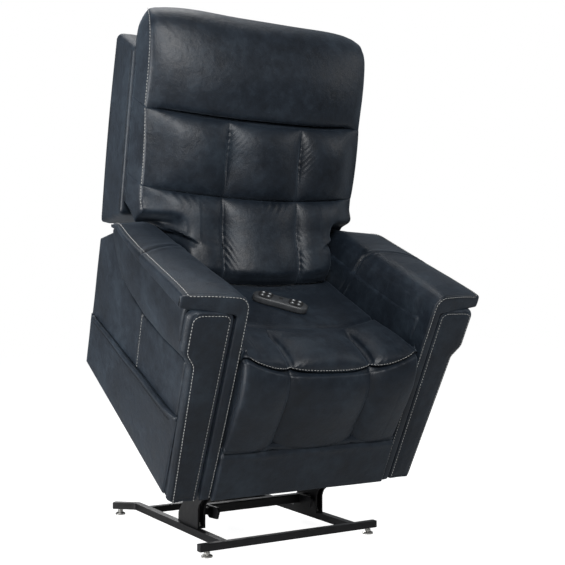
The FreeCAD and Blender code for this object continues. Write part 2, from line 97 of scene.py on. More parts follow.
# ------------------------------------------------------------ mesh builders
def grid_faces(n, m, off=0, wrap=False):
    i = np.arange(n - 1)[:, None]
    j = np.arange(m if wrap else m - 1)[None]
    a = i * m + j
    b = i * m + (j + 1) % m
    c = (i + 1) * m + (j + 1) % m
    d = (i + 1) * m + j
    return (np.stack([a + 0 * d, b + 0 * a, c, d], -1).reshape(-1, 4) + off)


def make(name, V, F, sharp=None, in_row=False):
    V = np.asarray(V, float).reshape(-1, 3)
    if not in_row:
        V = row(V)
    me = bpy.data.meshes.new(name)
    me.from_pydata(V.tolist(), [], [list(map(int, f)) for f in F])
    me.update()
    bm = bmesh.new()
    bm.from_mesh(me)
    bmesh.ops.remove_doubles(bm, verts=bm.verts, dist=2e-5)
    bmesh.ops.dissolve_degenerate(bm, dist=1e-5, edges=bm.edges)
    bmesh.ops.recalc_face_normals(bm, faces=bm.faces)
    bm.to_mesh(me)
    bm.free()
    me.polygons.foreach_set("use_smooth", [True] * len(me.polygons))
    if sharp:
        me.set_sharp_from_angle(angle=radians(sharp))
    ob = bpy.data.objects.new(name, me)
    scene.collection.objects.link(ob)
    return ob


def normals(F, hint):
    du = np.gradient(F, axis=0)
    dv = np.gradient(F, axis=1)
    n = np.cross(du, dv)
    n /= np.linalg.norm(n, axis=-1, keepdims=True) + 1e-9
    s = np.sign((n * np.asarray(hint, float)).sum(-1).mean())
    return n * (s if s else 1)


def border(F, sides="abcd"):
    """distance in mm to the grid's own border; sides: a first row, b last row, c first column, d last column"""
    n, m = F.shape[:2]
    du = np.linalg.norm(np.diff(F, axis=0), axis=-1)
    dv = np.linalg.norm(np.diff(F, axis=1), axis=-1)
    cu = np.vstack([np.zeros((1, m)), np.cumsum(du, 0)])
    cv = np.hstack([np.zeros((n, 1)), np.cumsum(dv, 1)])
    D = np.full((n, m), 1e9)
    if "a" in sides: D = np.minimum(D, cu)
    if "b" in sides: D = np.minimum(D, cu[-1:] - cu)
    if "c" in sides: D = np.minimum(D, cv)
    if "d" in sides: D = np.minimum(D, cv[:, -1:] - cv)
    return D


def drop(D, r):
    d = np.minimum(D, r)
    return r - np.sqrt(np.maximum(r * r - (r - d) ** 2, 0))


def shell(name, F, B, rings=2, bulge=0.0, sharp=None):
    """closed mesh from a front grid and a back grid of the same size"""
    n, m = F.shape[:2]
    idx = [(i, 0) for i in range(n)] + [(n - 1, j) for j in range(1, m)] + \
          [(i, m - 1) for i in range(n - 2, -1, -1)] + [(0, j) for j in range(m - 2, 0, -1)]
    fi = np.array([i * m + j for i, j in idx])
    fb = np.array([F[i, j] for i, j in idx])
    bb = np.array([B[i, j] for i, j in idx])
    V = [F.reshape(-1, 3), B.reshape(-1, 3)]
    faces = [grid_faces(n, m), grid_faces(n, m, n * m)]
    prev = fi
    base = 2 * n * m
    L = len(idx)
    c = fb.mean(0)
    out = fb - c
    for k in range(1, rings + 1):
        t = k / (rings + 1.0)
        P = fb * (1 - t) + bb * t
        if bulge:
            o = out / (np.linalg.norm(out, axis=1, keepdims=True) + 1e-9)
            P = P + o * bulge * sin(pi * t)
        V.append(P)
        cur = base + np.arange(L)
        faces.append(np.stack([prev, np.roll(prev, -1), np.roll(cur, -1), cur], -1))
        prev = cur
        base += L
    last = fi + n * m
    faces.append(np.stack([prev, np.roll(prev, -1), np.roll(last, -1), last], -1))
    return make(name, np.vstack(V), np.vstack(faces), sharp)


def panel(name, F0, hint, thick, r, crown=0.0, disp=None, rings=2, back=None, sides="abcd", sharp=None):
    """padded panel: rounded edges, a soft crown and a flat back"""
    N = normals(F0, hint)
    D = border(F0, sides)
    h = -drop(D, r)
    if crown:
        w = np.minimum(D / (D[D < 1e8].max() + 1e-6), 1)
        h = h + crown * (1 - (1 - w) ** 2.2)
    if disp is not None:
        h = h + disp
    F = F0 + N * h[..., None]
    hv = np.asarray(hint, float)
    hv = hv / np.linalg.norm(hv)
    B = F0 - hv * thick if back is None else back
    ob = shell(name, F, B, rings, sharp=sharp)
    return ob, F, N


def sample(F, s, t):
    """bilinear sample of a grid at fractions s (rows), t (columns)"""
    n, m = F.shape[:2]
    a = np.clip(np.asarray(s, float), 0, 1) * (n - 1)
    b = np.clip(np.asarray(t, float), 0, 1) * (m - 1)
    i = np.minimum(a.astype(int), n - 2)
    j = np.minimum(b.astype(int), m - 2)
    u, v = (a - i)[:, None], (b - j)[:, None]
    return (F[i, j] * (1 - u) * (1 - v) + F[i + 1, j] * u * (1 - v) + F[i, j + 1] * (1 - u) * v + F[i + 1, j + 1] * u * v)


threads = {}


def stitch(body, P, N, pitch=8.6, length=6.2, r=0.95, lift=0.35, tone="stitch"):
    """a row of thread stitches along P with surface normals N"""
    P = np.asarray(P, float)
    N = np.asarray(N, float) + np.zeros_like(P)
    d = np.r_[0, np.cumsum(np.linalg.norm(np.diff(P, axis=0), axis=1))]
    k = int(d[-1] // pitch)
    if k < 1:
        return
    pitch = d[-1] / k
    V, Fc = threads.setdefault((body, tone), ([], []))
    prof = [(-0.5, 0.25, -0.7), (-0.34, 0.9, 0.1), (0.0, 1.0, 0.35), (0.34, 0.9, 0.1), (0.5, 0.25, -0.7)]
    for q in range(k):
        mid = (q + 0.5) * pitch
        ln = length * (1 + 0.10 * (rng.rand() - 0.5))
        ts = [mid + a * ln for a, _, _ in prof]
        C = np.stack([np.interp(ts, d, P[:, c]) for c in range(3)], -1)
        M = np.array([np.interp(mid, d, N[:, c]) for c in range(3)])
        M /= np.linalg.norm(M) + 1e-9
        T = C[-1] - C[0]
        T /= np.linalg.norm(T) + 1e-9
        S = np.cross(T, M)
        S /= np.linalg.norm(S) + 1e-9
        base = len(V)
        for (a, rr, up), c in zip(prof, C):
            for g in range(6):
                an = g * pi / 3
                V.append(c + M * (lift + up * r) + (S * cos(an) + M * sin(an)) * rr * r)
        for a in range(4):
            for g in range(6):
                Fc.append([base + a * 6 + g, base + a * 6 + (g + 1) % 6, base + a * 6 + 6 + (g + 1) % 6, base + a * 6 + 6 + g])
        Fc.append([base + g for g in range(5, -1, -1)])
        Fc.append([base + 24 + g for g in range(6)])


def stitch_on(body, F, N, path, mirror=True, **k):
    """stitches along a path given as fractions of a grid; mirrored in x too if asked"""
    path = np.asarray(path, float)
    P = sample(F, path[:, 0], path[:, 1])
    M = sample(N, path[:, 0], path[:, 1])
    stitch(body, P, M, **k)
    if mirror:
        f = np.array([-1, 1, 1.0])
        stitch(body, P * f, M * f, **k)


def tube(name, P, r, seg=10, body=None, flat=1.0, N=None):
    """round roll along P, closed at both ends"""
    P = np.asarray(P, float)
    n = len(P)
    T = np.gradient(P, axis=0)
    T /= np.linalg.norm(T, axis=1, keepdims=True)
    N = np.array([1.0, 0, 0]) if N is None else np.asarray(N, float)
    N = N + np.zeros_like(P)
    S = np.cross(T, N); S /= np.linalg.norm(S, axis=1, keepdims=True)
    U = np.cross(S, T)
    r = np.full(n, float(r)) if np.isscalar(r) else np.asarray(r, float)
    V = []
    for a in range(seg):
        an = 2 * pi * a / seg
        V.append(P + (S * cos(an) + U * sin(an) * flat) * r[:, None])
    V = np.stack(V, 1).reshape(-1, 3)
    F = [list(f) for f in grid_faces(n, seg, wrap=True)]
    V = np.vstack([V, P[0] - T[0] * r[0] * .5, P[-1] + T[-1] * r[-1] * .5])
    for a in range(seg):
        F.append([n * seg, (a + 1) % seg, a])
        F.append([n * seg + 1, (n - 1) * seg + a, (n - 1) * seg + (a + 1) % seg])
    return V, F


def mirrored(ob, name):
    me = ob.data.copy()
    o2 = bpy.data.objects.new(name, me)
    scene.collection.objects.link(o2)
    me.transform(Matrix.Scale(-1, 4, Vector((1, 0, 0))))
    me.flip_normals()
    return o2


# ----------------------------------------------------------------- materials
def nodes_of(mat):
    mat.use_nodes = True
    nt = mat.node_tree
    nt.nodes.clear()
    out = nt.nodes.new("ShaderNodeOutputMaterial")
    bs = nt.nodes.new("ShaderNodeBsdfPrincipled")
    nt.links.new(bs.outputs[0], out.inputs[0])
    return nt, bs


def N_(nt, kind, **k):
    n = nt.nodes.new(kind)
    for a, b in k.items():
        if a in n.inputs.keys():
            n.inputs[a].default_value = b
        else:
            setattr(n, a, b)
    return n


def ramp(nt, fac, stops):
    r = nt.nodes.new("ShaderNodeValToRGB")
    while len(r.color_ramp.elements) < len(stops):
        r.color_ramp.elements.new(0.5)
    for e, (p, c) in zip(r.color_ramp.elements, stops):
        e.position = p
        e.color = (c[0], c[1], c[2], 1) if hasattr(c, "__len__") else (c, c, c, 1)
    nt.links.new(fac, r.inputs[0])
    return r


def leather(name, dark, mid, light, rough=(0.40, 0.56), grain=1.0):
    mat = bpy.data.materials.new(name)
    nt, bs = nodes_of(mat)
    L = nt.links.new
    co = nt.nodes.new("ShaderNodeTexCoord").outputs["Object"]
    big = N_(nt, "ShaderNodeTexNoise", Scale=7.0, Detail=4.0, Roughness=0.55)
    L(co, big.inputs["Vector"])
    med = N_(nt, "ShaderNodeTexNoise", Scale=38.0, Detail=5.0, Roughness=0.6)
    L(co, med.inputs["Vector"])
    mix = N_(nt, "ShaderNodeMath", operation="MULTIPLY_ADD")
    L(med.outputs["Fac"], mix.inputs[0]); mix.inputs[1].default_value = 0.45
    half = N_(nt, "ShaderNodeMath", operation="MULTIPLY"); L(big.outputs["Fac"], half.inputs[0]); half.inputs[1].default_value = 0.62
    L(half.outputs[0], mix.inputs[2])
    col = ramp(nt, mix.outputs[0], [(0.36, dark), (0.54, mid), (0.72, light)])
    # worn, paler leather where the surface is most convex
    geo = nt.nodes.new("ShaderNodeNewGeometry")
    wear = ramp(nt, geo.outputs["Pointiness"], [(0.515, 0.0), (0.60, 1.0)])
    wn = N_(nt, "ShaderNodeMath", operation="MULTIPLY"); L(wear.outputs[0], wn.inputs[0])
    wr = ramp(nt, med.outputs["Fac"], [(0.42, 0.0), (0.7, 0.5)])
    L(wr.outputs[0], wn.inputs[1])
    mx = nt.nodes.new("ShaderNodeMix"); mx.data_type = "RGBA"
    L(wn.outputs[0], mx.inputs[0]); L(col.outputs[0], mx.inputs[6])
    mx.inputs[7].default_value = (light[0] * 2.0, light[1] * 2.0, light[2] * 2.0, 1)
    L(mx.outputs[2], bs.inputs["Base Color"])
    rr = ramp(nt, mix.outputs[0], [(0.3, rough[0]), (0.75, rough[1])])
    L(rr.outputs[0], bs.inputs["Roughness"])
    bs.inputs["Specular IOR Level"].default_value = 0.42
    bs.inputs["Sheen Weight"].default_value = 0.10
    bs.inputs["Sheen Roughness"].default_value = 0.45
    bs.inputs["Sheen Tint"].default_value = (0.55, 0.68, 0.85, 1)
    # pebbled grain: cells for the pebbles, noise for the pores and creases
    v = N_(nt, "ShaderNodeTexVoronoi", Scale=620.0, Randomness=1.0)
    v.feature = "SMOOTH_F1"
    warp = N_(nt, "ShaderNodeTexNoise", Scale=160.0, Detail=3.0)
    L(co, warp.inputs["Vector"])
    add = N_(nt, "ShaderNodeVectorMath", operation="MULTIPLY_ADD")
    L(warp.outputs["Color"], add.inputs[0]); add.inputs[1].default_value = (0.004, 0.004, 0.004); L(co, add.inputs[2])
    L(add.outputs[0], v.inputs["Vector"])
    fine = N_(nt, "ShaderNodeTexNoise", Scale=900.0, Detail=2.0)
    L(co, fine.inputs["Vector"])
    crease = N_(nt, "ShaderNodeTexNoise", Scale=52.0, Detail=6.0, Roughness=0.62)
    crease.noise_type = "RIDGED_MULTIFRACTAL"
    L(co, crease.inputs["Vector"])
    b1 = N_(nt, "ShaderNodeBump", Strength=0.30 * grain, Distance=0.0006)
    L(v.outputs["Distance"], b1.inputs["Height"])
    b2 = N_(nt, "ShaderNodeBump", Strength=0.22 * grain, Distance=0.0004)
    L(fine.outputs["Fac"], b2.inputs["Height"]); L(b1.outputs[0], b2.inputs["Normal"])
    b3 = N_(nt, "ShaderNodeBump", Strength=0.18 * grain, Distance=0.0022)
    L(crease.outputs["Fac"], b3.inputs["Height"]); L(b2.outputs[0], b3.inputs["Normal"])
    b4 = N_(nt, "ShaderNodeBump", Strength=0.35, Distance=0.004)
    L(med.outputs["Fac"], b4.inputs["Height"]); L(b3.outputs[0], b4.inputs["Normal"])
    L(b4.outputs[0], bs.inputs["Normal"])
    return mat


def solid(name, col, rough, metal=0.0, var=0.25, scale=60.0, bump=0.15, dist=0.0004, bscale=400.0, aniso=None, sheen=0.0):
    mat = bpy.data.materials.new(name)
    nt, bs = nodes_of(mat)
    L = nt.links.new
    co = nt.nodes.new("ShaderNodeTexCoord").outputs["Object"]
    n1 = N_(nt, "ShaderNodeTexNoise", Scale=scale, Detail=5.0, Roughness=0.6)
    L(co, n1.inputs["Vector"])
    c0 = [max(0, c * (1 - var)) for c in col]
    c1 = [min(1, c * (1 + var)) for c in col]
    r = ramp(nt, n1.outputs["Fac"], [(0.32, c0), (0.68, c1)])
    L(r.outputs[0], bs.inputs["Base Color"])
    rr = ramp(nt, n1.outputs["Fac"], [(0.3, max(0.02, rough - 0.07)), (0.7, min(1, rough + 0.09))])
    L(rr.outputs[0], bs.inputs["Roughness"])
    bs.inputs["Metallic"].default_value = metal
    if sheen:
        bs.inputs["Sheen Weight"].default_value = sheen
    n2 = N_(nt, "ShaderNodeTexNoise", Scale=bscale, Detail=3.0)
    if aniso:
        mp = N_(nt, "ShaderNodeMapping"); mp.inputs["Scale"].default_value = aniso
        L(co, mp.inputs["Vector"]); L(mp.outputs[0], n2.inputs["Vector"])
    else:
        L(co, n2.inputs["Vector"])
    b = N_(nt, "ShaderNodeBump", Strength=bump, Distance=dist)
    L(n2.outputs["Fac"], b.inputs["Height"])
    L(b.outputs[0], bs.inputs["Normal"])
    return mat


def wood_mat():
    mat = bpy.data.materials.new("board_wood")
    nt, bs = nodes_of(mat)
    L = nt.links.new
    co = nt.nodes.new("ShaderNodeTexCoord").outputs["Object"]
    mp = N_(nt, "ShaderNodeMapping"); mp.inputs["Scale"].default_value = (1.0, 6.0, 6.0)
    L(co, mp.inputs["Vector"])
    w = N_(nt, "ShaderNodeTexWave", Scale=9.0, Distortion=6.0, Detail=4.0)
    L(mp.outputs[0], w.inputs["Vector"])
    r = ramp(nt, w.outputs["Fac"], [(0.2, (0.36, 0.23, 0.12)), (0.8, (0.56, 0.40, 0.24))])
    L(r.outputs[0], bs.inputs["Base Color"])
    bs.inputs["Roughness"].default_value = 0.65
    b = N_(nt, "ShaderNodeBump", Strength=0.3, Distance=0.0006)
    L(w.outputs["Fac"], b.inputs["Height"]); L(b.outputs[0], bs.inputs["Normal"])
    return mat


def weave_mat(name, col, scale=900.0):
    mat = bpy.data.materials.new(name)
    nt, bs = nodes_of(mat)
    L = nt.links.new
    co = nt.nodes.new("ShaderNodeTexCoord").outputs["Object"]
    w1 = N_(nt, "ShaderNodeTexWave", Scale=scale / 6, Distortion=0.6); w1.bands_direction = "X"
    w2 = N_(nt, "ShaderNodeTexWave", Scale=scale / 6, Distortion=0.6); w2.bands_direction = "Z"
    L(co, w1.inputs["Vector"]); L(co, w2.inputs["Vector"])
    mu = N_(nt, "ShaderNodeMath", operation="ADD"); L(w1.outputs["Fac"], mu.inputs[0]); L(w2.outputs["Fac"], mu.inputs[1])
    r = ramp(nt, mu.outputs[0], [(0.2, [c * 0.5 for c in col]), (0.9, [min(1, c * 1.4) for c in col])])
    L(r.outputs[0], bs.inputs["Base Color"])
    bs.inputs["Roughness"].default_value = 0.9
    bs.inputs["Sheen Weight"].default_value = 0.3
    b = N_(nt, "ShaderNodeBump", Strength=0.5, Distance=0.0005)
    L(mu.outputs[0], b.inputs["Height"]); L(b.outputs[0], bs.inputs["Normal"])
    return mat


LEATHER = leather("navy_leather", (0.0030, 0.0050, 0.0085), (0.0070, 0.0115, 0.0185), (0.0170, 0.0260, 0.0370), rough=(0.36, 0.54))
THREAD = solid("thread_grey", (0.33, 0.33, 0.32), 0.75, var=0.2, scale=300, bump=0.4, dist=0.0003, bscale=1500, sheen=0.2)
STEEL = solid("black_powder_coat", (0.010, 0.010, 0.011), 0.36, metal=0.25, var=0.3, bump=0.22, dist=0.0003, bscale=700)
ZINC = solid("zinc_plate", (0.62, 0.61, 0.58), 0.30, metal=0.95, var=0.10, bump=0.1, bscale=500, aniso=(1, 1, 8))
PLASTIC = solid("black_moulded_plastic", (0.014, 0.014, 0.015), 0.55, var=0.2, bump=0.35, dist=0.0003, bscale=900)
HANDSET = solid("handset_plastic", (0.045, 0.048, 0.052), 0.46, var=0.15, bump=0.3, dist=0.0002, bscale=1100)
KEY = solid("key_plastic", (0.09, 0.095, 0.10), 0.5, var=0.1, bump=0.2, bscale=1200)
MARK = solid("key_marks", (0.72, 0.74, 0.75), 0.5, var=0.05, bump=0.1, bscale=1200)
WOOD = wood_mat()
CLOTH = weave_mat("black_dust_cloth", (0.012, 0.012, 0.013))

BY_SLOT = {"leather": LEATHER, "black_steel": STEEL, "zinc_steel": ZINC, "black_plastic": PLASTIC, "wood": WOOD,
           "black_cloth": CLOTH, "handset_plastic": HANDSET, "key_plastic": KEY}
slot_of = {s["node"]: s["material_slot"] for s in frame["record"]["subparts"]}
for n, o in frame["nodes"].items():
    m = BY_SLOT[slot_of[n]]
    if len(o.data.materials) == 0:
        o.data.materials.append(m)
    for i in range(len(o.data.materials)):
        o.data.materials[i] = m


def finish_piece(ob, body, mat, replaces=()):
    ob.data.materials.clear()
    ob.data.materials.append(mat)
    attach(ob, body)
    if replaces:
        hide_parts(*replaces)
    return ob


# -------------------------------------------------------- upholstery shapes
def cols(x, edges, p=2.4, q=0.5):
    """0 at each seam, 1 in the middle of each channel"""
    x = np.asarray(x, float)
    out = np.zeros_like(x)
    for a, b in zip(edges[:-1], edges[1:]):
        c = 2 * (x - a) / (b - a) - 1
        inside = (x >= a) & (x <= b)
        out = np.where(inside, np.maximum(1 - np.abs(c) ** p, 0) ** q, out)
    return out


def puckers(d, along, lam, k, width, amp, seed=0, sharp=1.4):
    """short gathers that run off a seam: d is the distance from it (one side only)"""
    ph = 2 * pi * (along - k * d) / lam + 1.7 * np.sin(along / (lam * 2.3) + seed)
    g = 0.5 + 0.5 * np.cos(ph)
    a = amp * (0.55 + 0.45 * np.sin(along / (lam * 1.7) + 2.1 * seed + 1.0))
    return np.where(d > 0, a * (g ** sharp - 0.42) * np.exp(-np.maximum(d, 0) / width) * sstep(0, 3.0, d), 0)


def lumps(P, amp, scale, seed):
    """slow unevenness of stuffing"""
    x, z = P[..., 0] / scale, (P[..., 1] + P[..., 2]) / scale
    s = seed * 1.37
    return amp * (np.sin(x * 1.9 + s) * np.sin(z * 2.3 + 1.1 * s) * 0.6 + np.sin(x * 3.7 - s * 2 + z * 1.3) * 0.3 + np.sin(z * 5.1 + s * 3 - x * 2.2) * 0.2)


LEAN = radians(17.6)
NB = np.array([0.0, -cos(LEAN), sin(LEAN)])      # front normal of the back

# ---- back: head pillow
def head_piece():
    n, m = 150, 84
    s = np.linspace(-1, 1, n)
    E = catmull([(681, 804), (694, 848), (709, 900), (728, 952), (752, 1000), (781, 1028), (816, 1038), (850, 1033)], m)
    C = catmull([(634, 801), (626, 828), (634, 880), (655, 938), (690, 992), (729, 1034), (772, 1054), (818, 1056), (852, 1041)], m)
    R = catmull([(775, 804), (788.6, 848), (804.6, 900), (817, 940), (829, 968), (843, 990), (853, 1004), (857, 1014)], m)
    t = np.linspace(0, 1, m)
    k_ = np.clip((t - 0.62) / 0.38, 0, 1) * 0.97
    W = 353 - 34 * (1 - np.sqrt(1 - k_ ** 2))
    Wb = 361 - 38 * (1 - np.sqrt(1 - k_ ** 2))
    cr = np.maximum(1 - np.abs(s) ** 3.0, 0) ** 0.82
    cz = np.maximum(1 - np.abs(s) ** 4.6, 0) ** 0.6
    F = np.zeros((n, m, 3))
    F[..., 0] = s[:, None] * W[None]
    # the seam line itself is crowned; a fuller pillow stands in front of it
    seam = (1 - s ** 2)
    base_y = E[None, :, 0] + (C[None, :, 0] - E[None, :, 0]) * (cr[:, None] * (1 - np.exp(-t * 9))[None] + seam[:, None] * np.exp(-t * 9)[None])
    base_z = E[None, :, 1] + (C[None, :, 1] - E[None, :, 1]) * cz[:, None]
    F[..., 1], F[..., 2] = base_y, base_z
    Nn = normals(F, NB)
    x, z = F[..., 0], F[..., 2]
    h = lumps(F, 2.2, 150, 1)
    da = border(F, "c")
    inn = 1 - sstep(290, 352, np.abs(x))
    h = h * inn - drop(da, 34) * 0.72 * inn
    # gathers along the bottom seam and at the top corners
    h = h + puckers(da, x, 34, 0.5, 18, 1.6, 2) * sstep(60, 200, np.abs(x)) * inn
    hc = np.minimum(353 - np.abs(x), 400)
    h = h + puckers(hc, z, 30, -0.9, 22, 2.2, 5) * sstep(930, 990, z)
    F = F + Nn * h[..., None]
    B = np.zeros_like(F)
    B[..., 0] = s[:, None] * Wb[None]
    B[..., 1] = R[None, :, 0]
    B[..., 2] = R[None, :, 1]
    B[..., 1] += 4 * (1 - np.minimum(np.abs(s)[:, None] / 0.955, 1) ** 10) * (1 - sstep(0.60, 0.72, t))[None]
    ob = shell("head_pillow", F, B, rings=5, bulge=1.2)
    for sgn, ss in ((1, 1.0), (-1, 0.0)):
        path = [(0.5 + sgn * 0.5 * (1 - 0.012), v) for v in np.linspace(0.015, 0.93, 80)]
        k0 = 0.5 + sgn * 0.5
        P = sample(F, [k0] * 80, np.linspace(0.012, 0.95, 80))
        Q = P + np.array([-sgn * 0.0, 5.5, 0.0])
        stitch("back", Q + np.array([sgn * 1.2, 0, 0]), np.array([sgn, -0.35, 0.0]))
    return ob, F


head, headF = head_piece()


def back_base(x, z):
    """y of the seam plane of the back at height z, crowned across the width"""
    ye = smooth_tab(z, [(330, 480), (412, 522), (511, 588), (602, 612), (803, 681), (900, 710)], 34)
    cr = smooth_tab(z, [(340, 40), (412, 90), (470, 90), (602, 55), (803, 54), (900, 54)], 34)
    w = 351.0
    return ye - cr * (1 - np.minimum(np.abs(x) / w, 1) ** 2.0)


def mid_piece():
    n, m = 190, 66
    s = np.linspace(-1, 1, n)
    t = np.linspace(0, 1, m)
    z = 602.5 + (804 - 602.5) * t
    W = np.interp(z, [605, 799], [348, 353])
    X = s[:, None] * W[None]
    Z = np.broadcast_to(z[None], X.shape).copy()
    Z = Z - 3.0 * np.sin(pi * t)[None] * 0
    F = np.stack([X, back_base(X, Z), Z], -1)
    Nn = np.broadcast_to(NB, F.shape)
    e = [-351, -120, 120, 351]
    gx = np.stack([cols(X[:, j], [-W[j] - 0.01, -119 - 2 * (1 - t[j]), 119 + 2 * (1 - t[j]), W[j] + .01], 2.1, 0.56) for j in range(m)], 1)
    gx = np.maximum(gx, np.where(np.abs(X) > 235, 0.55 + 0.45 * gx, 0))
    pt = np.maximum(1 - np.abs(2 * t - 1) ** 2.7, 0) ** 0.52
    pinch = 0.80 + 0.17 * np.exp(-((t - 0.55) / 0.32) ** 2)
    D = 46.0 * pt[None] * (1 - pinch[None] * (1 - gx)) * (0.84 + 0.16 * (1 - (X / 351) ** 2)) - 5.0
    D = D + lumps(F, 1.8, 110, 3)
    along = Z
    for x0, sd in ((-120, 1), (120, 2)):
        win = sstep(0.30, 0.5, t)[None] * (1 - sstep(0.86, 0.99, t))[None]
        D = D + puckers(X - x0, along, 19, 1.25, 13, 7.0, sd) * win
        D = D + puckers(x0 - X, along, 25, 0.9, 10, 2.6, sd + 3) * sstep(0.2, .5, t)[None] * (1 - sstep(0.8, 0.97, t))[None]
    # fine gathers off the two long seams
    D = D + puckers((Z - 605), X, 24, 0.8, 12, 2.4, 4) * sstep(150, 300, X) + puckers((799 - Z), X, 26, -0.9, 14, 2.2, 6) * sstep(230, 330, np.abs(X))
    eb = sstep(W[None] - 96, W[None] + 6, np.abs(X)) ** 1.2
    D = D * (1 - eb) + eb * 8.0 * np.sin(pi * t)[None] ** 0.6
    F = F + Nn * D[..., None]
    B = np.stack([s[:, None] * 361.0 + 0 * Z, 676 + 0.3089 * (Z - 487) + 1.5 + 4 * (1 - np.minimum(np.abs(X) / 332, 1) ** 10), Z], -1)
    ob = shell("mid_pillow", F, B, rings=5, bulge=0.6)
    for sgn in (1, -1):
        k0 = 0.5 + sgn * 0.5
        P = sample(F, [k0] * 60, np.linspace(0.01, 0.99, 60))
        stitch("back", P + np.array([sgn * 1.2, 5.5, 0]), np.array([sgn, -0.35, 0.0]))
    return ob, F


mid, midF = mid_piece()


def low_piece():
    n, m = 190, 84
    s = np.linspace(-1, 1, n)
    t = np.linspace(0, 1, m)
    z = 391 + (603.5 - 391) * t
    W = 266.5 + 0.07 * np.maximum(z - 395, 0) + (348 - 271) * sstep(474, 496, z)
    W = np.minimum(W, 348)
    X = s[:, None] * W[None]
    Z = np.broadcast_to(z[None], X.shape).copy()
    Y = back_base(X, Z)
    # the outer thirds run back behind the arms
    turn = sstep(232, 274, np.abs(X)) * (1 - sstep(498, 548, Z))
    ytarget = smooth_tab(Z, [(350, 520), (391, 548), (450, 592), (470, 612), (497, 618), (530, 613), (560, 606), (620, 606)], 12)
    Y = Y + (np.maximum(ytarget - Y, 0)) * turn
    F = np.stack([X, Y, Z], -1)
    NL = np.array([0.0, -cos(radians(24)), sin(radians(24))])
    gx = np.stack([cols(X[:, j], [-W[j] - .01, -124, 124, W[j] + .01], 2.1, 0.56) for j in range(m)], 1)
    gx = np.maximum(gx, np.where(np.abs(X) > 200, 0.75 + 0.25 * gx, 0))
    pt = np.maximum(1 - np.abs(2 * t - 1) ** 3.0, 0) ** 0.5
    pt = np.where(t < 0.5, np.maximum(pt, 0.35 + 0.65 * sstep(0, 0.2, t)), pt)
    pinch = 0.78 + 0.18 * np.exp(-((t - 0.5) / 0.34) ** 2)
    D = (45.0 * pt[None] * (1 - pinch[None] * (1 - gx)) - 5.0) * (1 - 0.9 * turn * sstep(240, 275, np.abs(X)))
    D = D + lumps(F, 2.0, 110, 7)
    for x0, sd in ((-124, 5), (124, 8)):
        win = sstep(0.10, 0.3, t)[None] * (1 - sstep(0.72, 0.9, t))[None]
        D = D + puckers(X - x0, Z, 18, -1.35, 13, 6.6, sd) * win
        D = D + puckers(x0 - X, Z, 23, -0.9, 10, 2.6, sd + 2) * win
    top = 601 - Z
    D = D + puckers(top, X, 22, -0.85, 17, 5.0, 3) * sstep(-60, 0, X) * (1 - sstep(80, 110, X))
    D = D + puckers(top, X, 26, 0.7, 13, 3.0, 9) * (1 - sstep(-210, -150, X))
    D = D + puckers(top, X, 26, -0.9, 15, 3.6, 1) * sstep(230, 290, X)
    eb = sstep(W[None] - 96, W[None] + 6, np.abs(X)) ** 1.2 * sstep(505, 580, Z)
    D = D * (1 - eb) + eb * 3.0 * np.sin(pi * t)[None]
    F = F + NL * D[..., None]
    # ease the turn behind the arm
    wm = sstep(196, 232, np.abs(X)) * (1 - sstep(540, 572, Z)) * 0.7
    for _ in range(16):
        e_ = np.pad(F[..., 1], 1, mode="edge")
        av = (e_[:-2, 1:-1] + e_[2:, 1:-1] + e_[1:-1, :-2] + e_[1:-1, 2:]) / 4
        F[..., 1] = F[..., 1] * (1 - wm) + av * wm
    B = np.stack([np.where(Z > 515, s[:, None] * 361.0, X * 0.985 + (s[:, None] * 361.0 - X * 0.985) * sstep(484, 515, Z)), np.interp(Z, [391, 420, 512, 601], [590, 602, 680, 712]) + 4 * (1 - np.minimum(np.abs(X) / 332, 1) ** 10) * sstep(520, 545, Z), Z + 26 * (1 - sstep(391, 460, Z)) + 16 * sstep(267, 300, np.abs(X)) * (1 - sstep(500, 556, Z))], -1)
    ob = shell("lumbar_pillow", F, B, rings=4, bulge=1.0)
    for sgn in (1, -1):
        k0 = 0.5 + sgn * 0.5
        P = sample(F, [k0] * 30, np.linspace(0.68, 0.99, 30))
        stitch("back", P + np.array([sgn * 1.2, 5.5, 0]), np.array([sgn, -0.35, 0.0]))
    return ob, F


low, lowF = low_piece()

